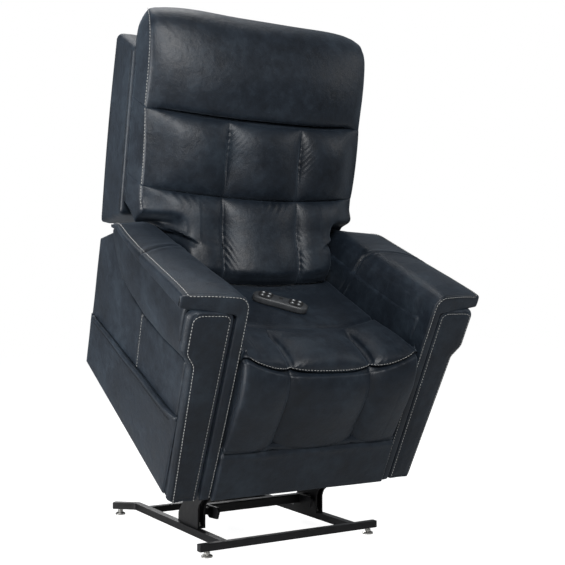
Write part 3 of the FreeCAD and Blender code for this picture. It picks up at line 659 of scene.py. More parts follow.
# ---- outer back shell: a deep padded tray with a curved top corner
def shell_piece():
    m = 96
    v = np.linspace(0, 1, m)
    fr = np.stack([676 + (815 - 676) * v, 487 + (937 - 487) * v], -1)
    re = np.stack([810 + (966 - 810) * v + 9 * np.sin(pi * v), 392 + (936 - 392) * v], -1)
    # round the top: the last stations draw in
    loops = []
    k = 12
    for i in range(m):
        h = np.linalg.norm(fr[-1] - fr[i])
        r = 20.0
        ins = 0.0
        if h < r:
            ins = r - sqrt(max(r * r - (r - h) ** 2, 0))
        hb = np.linalg.norm(fr[0] - fr[i])
        if hb < 12:
            ins = max(ins, 12 - sqrt(max(144 - (12 - hb) ** 2, 0)))
        hw = 366 - ins
        a, b = fr[i].copy(), re[i].copy()
        u = (b - a) / np.linalg.norm(b - a)
        a, b = a + u * ins, b - u * ins * 1.6
        L = np.linalg.norm(b - a)
        rc = 16.0
        pts = []
        # closed loop in (x, w) with w running front to rear
        def arc(cx, cw, a0, a1, r_):
            for g in np.linspace(a0, a1, 9):
                pts.append((cx + r_ * cos(radians(g)), cw + r_ * sin(radians(g))))
        def line(p, q, c):
            for g in np.linspace(0, 1, c + 2)[1:-1]:
                pts.append((p[0] + (q[0] - p[0]) * g, p[1] + (q[1] - p[1]) * g))
        arc(hw - 8, 8, -90, 0, 8)
        line((hw, 8), (hw, L - rc), 22)
        arc(hw - rc, L - rc, 0, 90, rc)
        line((hw - rc, L), (-hw + rc, L), 90)
        arc(-hw + rc, L - rc, 90, 180, rc)
        line((-hw, L - rc), (-hw, 8), 22)
        arc(-hw + 8, 8, 180, 270, 8)
        line((-hw + 8, 0), (hw - 8, 0), 60)
        q = np.array(pts)
        # a soft crown on the rear face and sides
        rear = np.exp(-((q[:, 1] - L) / 6.0) ** 2)
        cr = 20 * (1 - (np.abs(q[:, 0]) / hw) ** 2.4) * sin(pi * min(max(v[i], 0), 1)) ** 0.6 * rear
        side = np.exp(-((np.abs(q[:, 0]) - hw) / 4.0) ** 2)
        sx = 3.2 * sin(pi * v[i]) ** 0.7 * np.sin(pi * np.clip(q[:, 1] / L, 0, 1)) ** 0.8 * side
        xx = q[:, 0] + np.sign(q[:, 0]) * sx
        ww = q[:, 1] + cr
        loops.append(np.stack([xx, a[0] + u[0] * ww, a[1] + u[1] * ww], -1))
    P = np.array(loops)
    n, c = P.shape[:2]
    V = P.reshape(-1, 3)
    F = [list(f) for f in grid_faces(n, c, wrap=True)]
    # end caps: rings towards the middle
    for end, base in ((0, 0), (n - 1, (n - 1) * c)):
        ring = P[end]
        mid_ = ring.mean(0)
        prev = np.arange(c) + base
        for f in (0.97, 0.9, 0.7, 0.35):
            new = mid_ + (ring - mid_) * np.array([f, f, f])
            dome = 3.0 * (1 - f) * (1 if end else -1)
            new = new + np.array([0, 0.302, 0.953]) * dome
            off = len(V)
            V = np.vstack([V, new])
            cur = off + np.arange(c)
            F += [list(x) for x in np.stack([prev, np.roll(prev, -1), np.roll(cur, -1), cur], -1)]
            prev = cur
        V = np.vstack([V, mid_ + np.array([0, .302, .953]) * (2.2 if end else -2.2)])
        F += [[int(prev[i]), int(prev[(i + 1) % c]), len(V) - 1] for i in range(c)]
    ob = make("outer_back_cover", V, F)
    # one row of stitches down the front edge of each side, one down its rear edge, and one on the rear face beside that
    # edge
    for sgn in (1, -1):
        vv = np.linspace(0.03, 0.965, 90)
        a = np.stack([676 + 139 * vv, 487 + 450 * vv], -1)
        b = np.stack([810 + 156 * vv + 9 * np.sin(pi * vv), 392 + 544 * vv], -1)
        u = (b - a) / np.linalg.norm(b - a, axis=1, keepdims=True)
        for w in (11.0,):
            Q = a + u * w
            stitch("back", np.stack([np.full(90, sgn * 367.6), Q[:, 0], Q[:, 1]], -1), np.array([sgn, 0, 0.0]), r=0.7, tone="dark")
        Q = b - u * 20
        stitch("back", np.stack([np.full(90, sgn * 367.9), Q[:, 0], Q[:, 1]], -1), np.array([sgn, 0, 0.0]), r=0.7, tone="dark")
        Q = b + u * 0.6
        stitch("back", np.stack([np.full(90, sgn * 342), Q[:, 0], Q[:, 1]], -1), np.array([0, 1.0, 0]), r=0.8)
    return ob


outer = shell_piece()

# ---- seat: three channels roll over the front, one flat panel behind
XG = 123.0


def seat_piece():
    n, m = 176, 120
    x = np.linspace(-266.5, 266.5, n)
    ax = np.abs(x)
    S = np.stack([2 + 9 * (ax / 256) ** 2, 369 + 47 * (ax / 256) ** 3.0], -1)
    R = np.stack([172 + 52 * (ax / 250) ** 2.6, 404 - 4 * (ax / 250) ** 2], -1)
    g = cols(x, [-266.51, -XG, XG, 266.51], 2.2, 0.55)
    g = np.maximum(g, np.where(ax > 215, 0.5 + 0.5 * g, 0))
    k1 = 0.44
    t = np.linspace(0, 1, m)
    F = np.zeros((n, m, 3))
    for i in range(n):
        hgt = R[i, 1] - S[i, 1]
        lift = 10 + 14 * g[i] - 10 * (1 - g[i]) * 0.4
        fwd = 6 + 12 * g[i]
        p0, p3 = S[i], R[i]
        p1 = S[i] + np.array([-fwd, max(hgt, 0) * 0.9 + lift * 0.9])
        p2 = R[i] + np.array([-82.0, lift * 1.25])
        tt = np.clip(t / k1, 0, 1)[:, None]
        bez = (1 - tt) ** 3 * p0 + 3 * (1 - tt) ** 2 * tt * p1 + 3 * (1 - tt) * tt ** 2 * p2 + tt ** 3 * p3
        w = np.clip((t - k1) / (1 - k1), 0, 1)
        yy = R[i, 0] + (450 + 58 * min(ax[i] / 190.0, 1.0) ** 2 - R[i, 0]) * w
        zz = R[i, 1] - np.tan(radians(4.0)) * (yy - R[i, 0]) + 7.0 * np.sin(pi * np.clip(w, 0, 1)) ** 0.7 * (1 - (ax[i] / 262) ** 4)
        late = t > k1
        F[i, :, 0] = x[i]
        F[i, :, 1] = np.where(late, yy, bez[:, 0])
        F[i, :, 2] = np.where(late, zz, bez[:, 1])
    Nn = normals(F, (0, -0.3, 1))
    X, Y = F[..., 0], F[..., 1]
    G = np.broadcast_to(g[:, None], X.shape)
    front = (1 - sstep(k1 - 0.09, k1 + 0.005, t))[None]
    h = -21.0 * (1 - G) * front
    # the cross seam at the back of the channels
    dr = (t - k1)[None] * 560
    h = h - 6.5 * np.exp(-(dr / 7.0) ** 2)
    # rear panel crease lines and stuffing
    h = h + lumps(F, 1.8, 120, 11)
    for x0, sd in ((-XG, 2), (XG, 5)):
        for sg in (1, -1):
            win = sstep(0.18, 0.27, t)[None] * (1 - sstep(0.33, 0.42, t))[None]
            h = h + puckers(sg * (X - x0), Y, 22, 0.9 * sg, 15, 2.2, sd + sg) * win
    ds = border(F, "c")
    for x0, sd in ((-XG, 4), (XG, 7)):
        near = np.exp(-((X - x0) / 50.0) ** 2)
        h = h + puckers(ds - 6, X, 19, 0.8 * np.sign(X - x0), 22, 2.4, sd) * near * front
    h = h + puckers(ds - 6, X, 37, 0.3, 18, 1.6, 9) * front
    # sides fall away to the arms
    h = h - drop(np.maximum(266.5 - np.abs(X), 0), 16) * 0.8
    F = F + Nn * h[..., None]
    B = np.zeros_like(F)
    B[..., 0] = X * 0.99
    yb = np.interp(t, [0, 0.1, 0.18, 0.24, 0.93, 1.0], [26, 60, 116, 120, 428, 440])
    zb = np.interp(t, [0, 0.1, 0.18, 0.24, 0.93, 1.0], [369, 368, 368, 293, 293, 330])
    side = (np.abs(x) / 256)[:, None] ** 3.0
    B[..., 1] = yb[None] + (56 * np.minimum(np.abs(x) / 190.0, 1.0) ** 2)[:, None] * sstep(0.93, 1.0, t)[None]
    B[..., 2] = zb[None] + 44 * side * (1 - sstep(0.08, 0.16, t))[None]
    ob = shell("seat_cover", F, B, rings=3)
    # one row of light thread just above the front seam
    ii = np.linspace(0.012, 0.988, 150)
    P = sample(F, ii, np.full(150, 0.022))
    M = sample(normals(F, (0, -1, .3)), ii, np.full(150, 0.022))
    stitch("chair", P, M, lift=0.6)
    return ob, F


seat, seatF = seat_piece()


def pad_piece():
    n, m = 176, 84
    x = np.linspace(-266, 266, n)
    ax = np.abs(x)
    t = np.linspace(0, 1, m)
    g = cols(x, [-266.01, -XG - 1, XG + 1, 266.01], 2.2, 0.55)
    g = np.maximum(g, np.where(ax > 215, 0.5 + 0.5 * g, 0))
    ztop = 366.0 + 46 * np.minimum(ax / 256, 1) ** 3.0
    zbot = 146 - 9 * g * np.where(ax < XG, 1.0, 0.6)
    F = np.zeros((n, m, 3))
    prof_c = lambda u: np.interp(u, [0, .05, .15, .3, .45, .6, .8, .93, 1.0], [-6, -14, -23, -28, -27, -23, -17, -15, -12])
    for i in range(n):
        z = ztop[i] + (zbot[i] - ztop[i]) * t
        u = (366 - z) / (366 - 154.0)
        y = prof_c(np.clip(t, 0, 1))
        k = 7.0 * (ax[i] / 256) ** 2
        F[i, :, 0] = x[i]
        F[i, :, 1] = y + k * (1 - t)
        F[i, :, 2] = z
    # smooth the profile
    ker = np.array([1, 2, 3, 4, 3, 2, 1.0]); ker /= ker.sum()
    for _ in range(5):
        pad_ = np.pad(F[..., 1], ((0, 0), (3, 3)), mode="reflect", reflect_type="odd")
        F[..., 1] = sum(ker[q] * pad_[:, q:q + m] for q in range(7))
    Nn = normals(F, (0, -1, 0.1))
    X, Z = F[..., 0], F[..., 2]
    G = np.broadcast_to(g[:, None], X.shape)
    h = 19.0 * (G - 1) + 7 * G * np.sin(pi * np.clip(t, 0, 1))[None]
    h = h - drop(border(F, "a"), 14) * 0.0 - drop(border(F, "b" ), 10) * 0.0
    dv = border(F, "c")
    h = h - drop(np.minimum(border(F, "c"), 1e3), 5) * 0.8 - drop(border(F, "d"), 18) * 0.9
    h = h + lumps(F, 1.4, 120, 21)
    for x0, sd in ((-XG, 2), (XG, 5)):
        for sg in (1, -1):
            win = sstep(0.62, 0.75, t)[None] * (1 - sstep(0.90, 0.99, t))[None]
            h = h + puckers(sg * (X - x0), Z, 26, -1.1 * sg, 15, 3.2 if sg > 0 else 1.8, sd + sg) * win
    h = h - drop(np.maximum(266 - np.abs(X), 0), 9) * 0.8
    # short gathers below the front seam, either side of each groove
    dt = border(F, "c")
    for x0, sd in ((-XG, 3), (XG, 6)):
        near = np.exp(-((X - x0) / 46.0) ** 2)
        h = h + puckers(dt + 1, X, 17, 0.55 * np.sign(X - x0), 18, 1.5, sd) * near
    h = h + puckers(dt + 1, X, 31, 0.2, 15, 1.5, 8)
    F = F + Nn * h[..., None]
    B = np.zeros_like(F)
    B[..., 0] = X * 0.992
    low_ = 1 - sstep(150, 178, Z)
    B[..., 1] = 27.0 - 37.0 * low_ + 12.0 * (sstep(0.955, 0.985, ax / 266.0))[:, None] * (1 - low_)
    B[..., 2] = Z + 4 * low_
    ob = shell("footrest_cover", F, B, rings=4, bulge=1.5)
    # a sewn edge down each side of the pad
    for sgn in (1, -1):
        k0 = 0.5 + sgn * 0.5
        P = sample(F, [k0] * 60, np.linspace(0.03, 0.97, 60))
        stitch("footrest", P + np.array([sgn * 0.4, 6.0, 0]), np.array([sgn, -0.2, 0.0]), r=0.75, tone="dark")
    return ob, F


pad, padF = pad_piece()


def kick_piece():
    n, m = 140, 40
    x = np.linspace(-268.5, 268.5, n)
    t = np.linspace(0, 1, m)
    z = 9 + (156 - 9) * t
    X, Z = np.meshgrid(x, z, indexing="ij")
    Y = -24 + 12 * t[None] + 14 * sstep(0.84, 1.0, t)[None] + 0 * X
    F0 = np.stack([X, Y, Z], -1)
    d = 2.0 * np.exp(-((Z - 134) / 9.0) ** 2) * (1 + 0.6 * np.sin(X / 31.0))
    d = d + puckers(142 - Z, X, 33, 0.6, 14, 2.2, 4) * (1 - sstep(-245, -200, X)) + lumps(F0, 1.0, 140, 31)
    d = d + 2.5 * np.sin(pi * t)[None]
    ob, F, N = panel("front_skirt", F0, (0, -1, 0), 30, 4.0, 0.0, d)
    return ob, F, N


kick, kickF, kickN = kick_piece()

# ------------------------------------------------------------------- arms
FL = 36.0 / 538.0


def xp(z):
    return 381.0 + 0.0575 * np.asarray(z, float)


def round_loop(pts, radii, segs, arc_n=8):
    """closed rounded polygon with a fixed number of points per side"""
    pts = [np.array(p, float) for p in pts]
    n = len(pts)
    ins, outs, arcs = [], [], []
    for i in range(n):
        p, a, b = pts[i], pts[i - 1], pts[(i + 1) % n]
        u, v = (a - p), (b - p)
        lu, lv = np.linalg.norm(u), np.linalg.norm(v)
        u, v = u / lu, v / lv
        ang = np.arccos(np.clip(u @ v, -0.999999, 0.999999))
        r = radii[i]
        tl = min(r / np.tan(ang / 2), lu * 0.48, lv * 0.48)
        p1, p2 = p + u * tl, p + v * tl
        q = []
        for g in np.linspace(0, 1, arc_n):
            q.append((1 - g) ** 2 * p1 + 2 * (1 - g) * g * p + g ** 2 * p2)
        arcs.append(np.array(q))
    out = []
    tags = []
    for i in range(n):
        out.append(arcs[i]); tags += [i] * arc_n
        a, b = arcs[i][-1], arcs[(i + 1) % n][0]
        k = segs[i]
        g = np.linspace(0, 1, k + 2)[1:-1, None]
        out.append(a + (b - a) * g); tags += [i + 0.5] * k
    return np.vstack(out), np.array(tags)


def fillet(p, q, w, r, k):
    """k points round the corner q of the path p-q-w"""
    p, q, w = (np.array(a, float) for a in (p, q, w))
    u, v = p - q, w - q
    lu, lv = np.linalg.norm(u), np.linalg.norm(v)
    u, v = u / lu, v / lv
    ang = np.arccos(np.clip(u @ v, -0.9999, 0.9999))
    tl = min(r / np.tan(ang / 2), lu * 0.48, lv * 0.48)
    a, b = q + u * tl, q + v * tl
    g = np.linspace(0, 1, k)[:, None]
    c = q + (u + v) * 0.0
    # a conic close to a true arc
    wgt = np.sin(ang / 2)
    den = (1 - g) ** 2 + 2 * (1 - g) * g * wgt + g ** 2
    return ((1 - g) ** 2 * a + 2 * (1 - g) * g * wgt * c + g ** 2 * b) / den


def seg(a, b, k):
    return a + (b - a) * np.linspace(0, 1, k + 2)[1:-1, None]


def arm_cover():
    ns = 150
    K1, KC, K2, KE = 62, 14, 36, 7
    rows_ = []
    for s in np.linspace(0, 1, ns):
        yc = 34 + (596 - 34) * s
        zi = float(smooth_tab(yc, [(20, 578), (200, 556), (378, 533), (450, 522), (520, 513), (570, 508), (600, 500)], 16))
        zo = float(smooth_tab(yc, [(20, 567), (59, 565), (200, 549), (314, 537), (519, 523), (551, 513), (600, 484)], 14))
        xo = float(smooth_tab(yc, [(20, 454), (345, 454), (430, 450), (551, 438), (600, 416)], 14))
        xi = float(np.interp(yc, [30, 300, 600], [286, 293, 302]))
        bh = float(np.interp(yc, [34, 59, 150, 300, 430, 540, 600], [34, 34, 28, 20, 14, 9, 5]))
        crown = float(np.interp(yc, [30, 90, 250, 345, 430, 520, 600], [5, 12, 16, 12, 6, 5, 4]))
        zs = 366 - (366 - 3) * (1 - float(sstep(58, 112, yc)))
        xs = 270.2
        under = zo - bh
        rin = float(np.interp(yc, [34, 200, 600], [30, 40, 30]))
        A0, A1, A2, A3 = (xs, zs), (xi - 3, zi), (xo, zo), (xo - 1.5, under)
        f1 = fillet(A0, A1, A2, rin, KC)
        f2 = fillet(A1, A2, A3, 7.0, KE)
        up = np.vstack([np.array(A0)[None], seg(np.array(A0), f1[0], K1 - 1)])
        top = seg(f1[-1], f2[0], K2)
        outer_p = np.vstack([up, f1, top, f2])
        B0, B1, B2, B3 = (xs + 29, zs), (309, zi - 50), (431, under - 3), (xo - 1.5, under)
        g1 = fillet(B0, B1, B2, 9, KC)
        g2 = fillet(B2, B3, A2, 6.0, KE)
        upb = np.vstack([np.array(B0)[None], seg(np.array(B0), g1[0], K1 - 1)])
        topb = seg(g1[-1], g2[0], K2)
        topb[:, 1] -= 7.0 * np.sin(pi * np.linspace(0, 1, K2)) * (0 if yc < 70 else 1)
        inner_p = np.vstack([upb, g1, topb, g2])
        K = len(outer_p)
        # crown of the top and the swell of the inner side
        ix = np.arange(K)
        u = np.clip((outer_p[:, 0] - xi) / (xo - xi), 0, 1)
        m1 = ix >= K1 + KC // 2
        outer_p[:, 1] += np.where(m1, crown * np.sin(pi * u) ** 0.85, 0)
        vv = np.clip((outer_p[:, 1] - zs) / max(zi - zs, 1), 0, 1)
        outer_p[:, 0] -= np.where(ix < K1, 2.4 * np.sin(pi * vv), 0)
        q = np.vstack([outer_p, inner_p[::-1]])
        x, z = q[:, 0], q[:, 1]
        yf = 32 + 27 * np.clip((x - 292) / 160, 0, 1) ** 1.3 + (z - 572) * FL
        y = yf + (yc - 34) * (596 - yf) / (596 - 34)
        rows_.append(np.stack([x, y, z], -1))
    P = np.array(rows_)
    K = P.shape[1] // 2
    n_ = np.cross(np.gradient(P, axis=0), np.roll(P, -1, 1) - np.roll(P, 1, 1))
    n_ /= np.linalg.norm(n_, axis=-1, keepdims=True) + 1e-9
    if n_[75, K1 + KC + 12, 2] < 0:
        n_ = -n_
    # arc seam across the top and down the inner side
    ys = np.interp(P[..., 0], [276, 300, 378, 454], [402, 380, 345, 314])
    ys = np.where((P[..., 0] < 300) & (P[..., 2] < 515), 392 + (515 - P[..., 2]) * 0.12, ys)
    d = P[..., 1] - ys
    h = -4.2 * np.exp(-(d / 3.6) ** 2) + 2.0 * np.exp(-((np.abs(d) - 13) / 9.0) ** 2)
    h = h * (1 - 0.85 * sstep(434, 452, P[..., 0]))
    h = h + lumps(P, 1.2, 130, 41)
    # fine pulls on the inner side, off the front welt
    h = h + puckers(P[..., 1] - 40, P[..., 2], 46, 0.3, 26, 0.8, 3) * (1 - sstep(286, 306, P[..., 0])) * sstep(400, 470, P[..., 2])
    vis = np.arange(2 * K) < K - 2
    h = h * vis[None] * sstep(0, 4, np.arange(ns))[:, None]
    P = P + n_ * h[..., None]
    V = P.reshape(-1, 3)
    F = [list(f) for f in grid_faces(ns, 2 * K, wrap=True)]

    def cap(ring, sgn, r, dome):
        nonlocal V, F
        o, i = ring[:K], ring[K:][::-1]
        w = np.linalg.norm(i - o, axis=1)
        ds = [0, 0.5, 1.4, 2.8, 4.6, 7.0]
        cols_ = []
        for dd in ds:
            cols_.append(np.minimum(dd / w, 0.45))
        cols_.append(np.full(K, 0.5))
        T = np.stack(cols_ + [1 - c for c in cols_[-2::-1]], 1)
        G = o[:, None] + (i - o)[:, None] * T[..., None]
        dist = np.minimum(T, 1 - T) * w[:, None]
        dist = np.minimum(dist, np.abs(G[..., 0] - ring[:, 0].max()))
        dist = np.minimum(dist, (G[..., 2] - ring[:, 2].min()))
        G[..., 1] += sgn * ((r - drop(dist, r)) + dome * np.sin(pi * T))
        off = len(V)
        V = np.vstack([V, G.reshape(-1, 3)])
        F += [list(f) for f in grid_faces(K, T.shape[1], off)]
        return G
    Gf = cap(P[0], -1, 5.5, 1.5)
    cap(P[-1], 1, 9.0, 5.0)
    ob = make("arm_cover_left", V, F)
    # thread: along the outer top edge, across the front and down the inner band
    jo = K - KE - 1
    outer_line = P[2:-8, jo] + np.array([-5.0, 0, 1.0])
    kc = K - KE - 3
    fr = Gf[:kc, 4] + np.array([0, -0.2, 0])
    fr = fr[(fr[:, 2] > 7)][::-1]
    turn_ = np.array([P[0, kc + 1] + np.array([0, 0.8, 0.9]), Gf[kc + 1, 1] + np.array([0, -0.5, 0.8]), Gf[kc, 2] + np.array([0, -0.9, 0.5]), Gf[kc, 3] + np.array([0, -0.8, 0.2])])
    path = np.vstack([outer_line[::-1], turn_, fr])
    nn = np.vstack([np.tile([0.25, 0, 1.0], (len(outer_line), 1)), np.array([[0, -0.5, 1.0], [0, -0.8, 0.8], [0, -1.0, .5], [0, -1.0, .3]]), np.tile([0, -1.0, 0.15], (len(fr), 1))])
    k = len(outer_line)
    for _ in range(2):
        path[k - 6:k + 6] = 0.25 * path[k - 7:k + 5] + 0.5 * path[k - 6:k + 6] + 0.25 * path[k - 5:k + 7]
        nn[k - 6:k + 6] = 0.25 * nn[k - 7:k + 5] + 0.5 * nn[k - 6:k + 6] + 0.25 * nn[k - 5:k + 7]
    f = np.array([-1, 1, 1.0])
    stitch("chair", path, nn, lift=0.55)
    stitch("chair", path * f, nn * f, lift=0.55)
    return ob


armL = arm_cover()
armR = mirrored(armL, "arm_cover_right")


def front_panel():
    n, m = 60, 190
    z = np.linspace(2, 533, m)
    xin = 304 + 10.0 * z / 534
    xout = smooth_tab(z, [(0, 381), (392, 404), (424, 429), (540, 432)], 9)
    r = 22.0
    k = np.clip(z - (533 - r), 0, r)
    cut = r - np.sqrt(np.maximum(r * r - k * k, 0))
    kb = np.clip(10 - z, 0, 8)
    cb = 8 - np.sqrt(np.maximum(64 - kb * kb, 0))
    a_, b_ = xin + cut + cb, xout - cut - cb
    s = np.linspace(0, 1, n)
    s = 0.5 - 0.5 * np.cos(pi * s) * (0.55 + 0.45 * np.abs(np.cos(pi * s)))
    X = a_[None] + (b_ - a_)[None] * s[:, None]
    Z = np.broadcast_to(z[None], X.shape)
    F0 = np.stack([X, Z * FL - 6.0, Z], -1)
    D = border(F0)
    h = -1.7 * np.exp(-((D - 9.5) / 1.8) ** 2) + 2.2 * sstep(10, 30, D) + 0.8 * np.exp(-((D - 5) / 3) ** 2)
    # the outer edge slopes back as a soft side
    xo_d = (b_[None] - X)
    slope = 9.0 * (1 - sstep(0, 13, xo_d)) ** 1.4
    N = normals(F0, (0, -1, 0.067))
    h = h - drop(D, 5.0)
    F = F0 + N * h[..., None]
    F[..., 1] += slope
    F[..., 0] += 1.5 * (1 - sstep(0, 13, xo_d))
    B = F0 + np.array([0, 20.0, 0])
    B[..., 0] = X + 2.0 * (1 - sstep(0, 13, xo_d))
    ob = shell("arm_front_left", F, B, 5)
    off = 9.5
    za = np.linspace(3, 533 - off - 16, 230)
    A = np.stack([np.interp(za, z, xin) + off, za], -1)
    Bq = np.stack([np.interp(za, z, xout) - off - 2, za], -1)
    top = 533 - off
    g = np.linspace(0, pi / 2, 9)
    ca = np.stack([A[-1, 0] + 16 - 16 * np.cos(g), A[-1, 1] + 16 * np.sin(g)], -1)
    cb_ = np.stack([Bq[-1, 0] - 16 + 16 * np.cos(g), Bq[-1, 1] + 16 * np.sin(g)], -1)[::-1]
    xz = resample(np.vstack([A, ca, cb_, Bq[::-1]]), 560)
    for _ in range(8):
        xz[1:-1] = 0.25 * xz[:-2] + 0.5 * xz[1:-1] + 0.25 * xz[2:]
    aa, bb = np.interp(xz[:, 1], z, a_), np.interp(xz[:, 1], z, b_)
    sv = np.interp((xz[:, 0] - aa) / (bb - aa), s, np.linspace(0, 1, n))
    tv = (xz[:, 1] - 2) / 531.0
    stitch_on("chair", F, normals(F, (0, -1, 0)), np.stack([sv, tv], -1), lift=0.8)
    return ob


fpL = front_panel()
fpR = mirrored(fpL, "arm_front_right")

LEAF_LOW = [(40, 392), (62, 391), (84, 389), (180, 374), (302, 364), (400, 369), (491, 384), (530, 408), (560, 440), (585, 470)]


def side_panel():
    n, m = 216, 130
    s = np.linspace(0, 1, n)
    y0 = 22 + (668 - 22) * s
    y1 = 48 + (697 - 48) * s
    ztop = smooth_tab(y1, [(40, 388), (84, 386), (180, 371), (302, 361), (400, 366), (491, 381), (530, 404), (560, 436), (584, 470), (592, 474), (640, 441), (697, 401)], 6)
    t = np.linspace(0, 1, m)
    Y = y0[:, None] + (y1 - y0)[:, None] * t[None]
    Z = 2 + (ztop - 2)[:, None] * t[None]
    X = xp(Z)
    F0 = np.stack([X, Y, Z], -1)
    # vertical seam from the leaf down to the pocket
    a, b = np.array([325.0, 366.0]), np.array([300.0, 150.0])
    u = (b - a) / np.linalg.norm(b - a)
    rel = np.stack([Y - a[0], Z - a[1]], -1)
    tt = rel @ u
    d = rel[..., 0] * u[1] - rel[..., 1] * u[0]
    win = sstep(-6, 0, tt) * (1 - sstep(236, 244, tt))
    h = (-2.6 * np.exp(-(d / 2.8) ** 2) + 1.0 * np.exp(-((np.abs(d) - 9) / 6.0) ** 2)) * win
    h = h + lumps(F0, 1.4, 170, 51)
    ob, F, N = panel("side_cover_left", F0, (1, 0, -0.05), 19, 9.0, 4.0, h, rings=2)
    # thread beside that seam
    q = np.linspace(4, 190, 60)
    yy = a[0] + u[0] * q - 5.0
    zz = a[1] + u[1] * q
    P = np.stack([xp(zz) + 4.6, yy, zz], -1)
    stitch("chair", P, np.array([1.0, 0, 0]), r=0.75)
    stitch("chair", P * np.array([-1, 1, 1.0]), np.array([-1.0, 0, 0]), r=0.75)
    return ob


spL = side_panel()
spR = mirrored(spL, "side_cover_right")


def leaf_piece():
    n, m = 150, 44
    y = np.linspace(58, 590, n)
    zl = smooth_tab(y, LEAF_LOW, 12)
    zo = smooth_tab(y, [(20, 567), (59, 565), (200, 549), (314, 537), (519, 523), (551, 513), (600, 484)], 14)
    bh = np.interp(y, [34, 59, 150, 300, 430, 540, 600], [31, 31, 26, 19, 14, 9, 5])
    zt = np.maximum(zo - bh - 1.5, zl + 4)
    t = np.linspace(0, 1, m)
    Z = zl[:, None] + (zt - zl)[:, None] * t[None]
    xl = xp(zl) + 1.0
    xt = np.interp(y, [58, 345, 450, 560, 595], [429, 430, 427, 418, 410])
    prof = 0.5 * np.sin(t * pi / 2) ** 0.8 + 0.5 * t ** 0.75
    X = xl[:, None] + (xt - xl)[:, None] * prof[None]
    X = X + (5.0 * np.sin(pi * t) ** 0.8)[None] + 2.6
    Y = y[:, None] + 0 * t[None] - (1 - t[None]) * 6 * np.exp(-((y[:, None] - 58) / 20) ** 2)
    F0 = np.stack([X, Y, Z], -1)
    h = lumps(F0, 1.3, 120, 61)
    N = normals(F0, (1, 0, 0))
    D = border(F0, "a")
    h = h - drop(border(F0, "abc"), 10)
    F = F0 + N * h[..., None]
    B = F0 * np.array([0, 1, 1.0]) + np.stack([np.minimum(F0[..., 0] - 14, 404), 0 * Y, 0 * Z], -1)
    ob = shell("arm_bolster_left", F, B, rings=3)
    return ob


lfL = leaf_piece()
lfR = mirrored(lfL, "arm_bolster_right")


def core_piece():
    """the covered block of the arm, seen at its back edge and underside"""
    n, m = 96, 70
    s = np.linspace(0, 1, n)
    y0 = 24 + (666 - 24) * s
    y1 = 50 + (696 - 50) * s
    ztop = smooth_tab(y1, [(40, 508), (300, 470), (540, 454), (584, 456), (640, 424), (697, 389)], 10)
    t = np.linspace(0, 1, m)
    Y = y0[:, None] + (y1 - y0)[:, None] * t[None]
    Z = 3 + (ztop - 3)[:, None] * t[None]
    F0 = np.stack([xp(Z) - 17.0, Y, Z], -1)
    N = normals(F0, (1, 0, 0))
    F = F0 - N * drop(border(F0), 7)[..., None]
    B0 = np.stack([0 * Z + 297.0, Y, Z], -1)
    B = B0 + np.array([1.0, 0, 0]) * drop(border(B0), 8)[..., None]
    ob = shell("arm_block_left", F, B, rings=14, bulge=3.0)
    for sgn in (1, -1):
        P = np.stack([np.full(60, sgn * 356.0), np.linspace(669.0, 694.0, 60) + 2.2, np.linspace(20, 350, 60)], -1)
        stitch("chair", P, np.array([0, 1.0, 0]), r=0.75)
    return ob


coL = core_piece()
coR = mirrored(coL, "arm_block_right")


def inner_piece():
    n, m = 70, 60
    s = np.linspace(0, 1, n)
    y0 = 34 + (650 - 34) * s
    y1 = 66 + (676 - 66) * s
    ztop = smooth_tab(y1, [(40, 500), (300, 466), (548, 448), (590, 452), (676, 384)], 10)
    t = np.linspace(0, 1, m)
    Y = y0[:, None] + (y1 - y0)[:, None] * t[None]
    Z = 3 + (ztop - 3)[:, None] * t[None]
    F0 = np.stack([0 * Z + 276.0, Y, Z], -1)
    ob, F, N = panel("inner_pad_left_cover", F0, (-1, 0, 0), 22, 7.0, 3.0, lumps(F0, 1.0, 120, 71))
    return ob


ipL = inner_piece()
ipR = mirrored(ipL, "inner_pad_right_cover")


def pocket_piece():
    """storage pocket on the sitter's right: a soft pouch with a rolled hem"""
    n, m = 170, 70
    s = np.linspace(0, 1, n)
    y0 = 30 + (662 - 30) * s
    y1 = 34 + (672 - 34) * s
    ztop = 232 - 64 * s + 2.5 * np.sin(pi * s)
    t = np.linspace(0, 1, m)
    Y = y0[:, None] + (y1 - y0)[:, None] * t[None]
    Z = 6 + (ztop - 6)[:, None] * t[None]
    X = xp(Z) + 4.2
    F0 = np.stack([X, Y, Z], -1)
    D = border(F0, "abc")
    h = 3.2 * (1 - np.exp(-D / 30.0)) + 2.2 * sstep(0.6, 1.0, t)[None] * np.sin(pi * s)[:, None] ** 0.7
    h = h - drop(border(F0, "abc"), 4)
    h = h + 1.0 * np.sin(Y / 37.0 + Z / 50.0) * sstep(0.5, 1, t)[None]
    N = normals(F0, (1, 0, 0))
    F = F0 + N * h[..., None]
    B = F0 - N * 3.4
    ob = shell("pocket_pouch", F, B, rings=1)
    # rolled hem
    line = F[:, -1] + np.array([1.0, 0, 0])
    V, Fc = tube("hem", catmull(line[::10], 90), 6.2, 12, flat=1.15)
    hem = make("pocket_hem", V, Fc)
    for o in (ob, hem):
        o.data.transform(Matrix.Scale(-1, 4, Vector((1, 0, 0))))
        o.data.flip_normals()
    q = F[8:-8, int(m * 0.90)]
    stitch("chair", (q + np.array([0.4, 0, 0])) * np.array([-1, 1, 1.0]), np.array([-1.0, 0, 0]), r=0.6, tone="dark")
    return ob, hem


pocket, hem = pocket_piece()

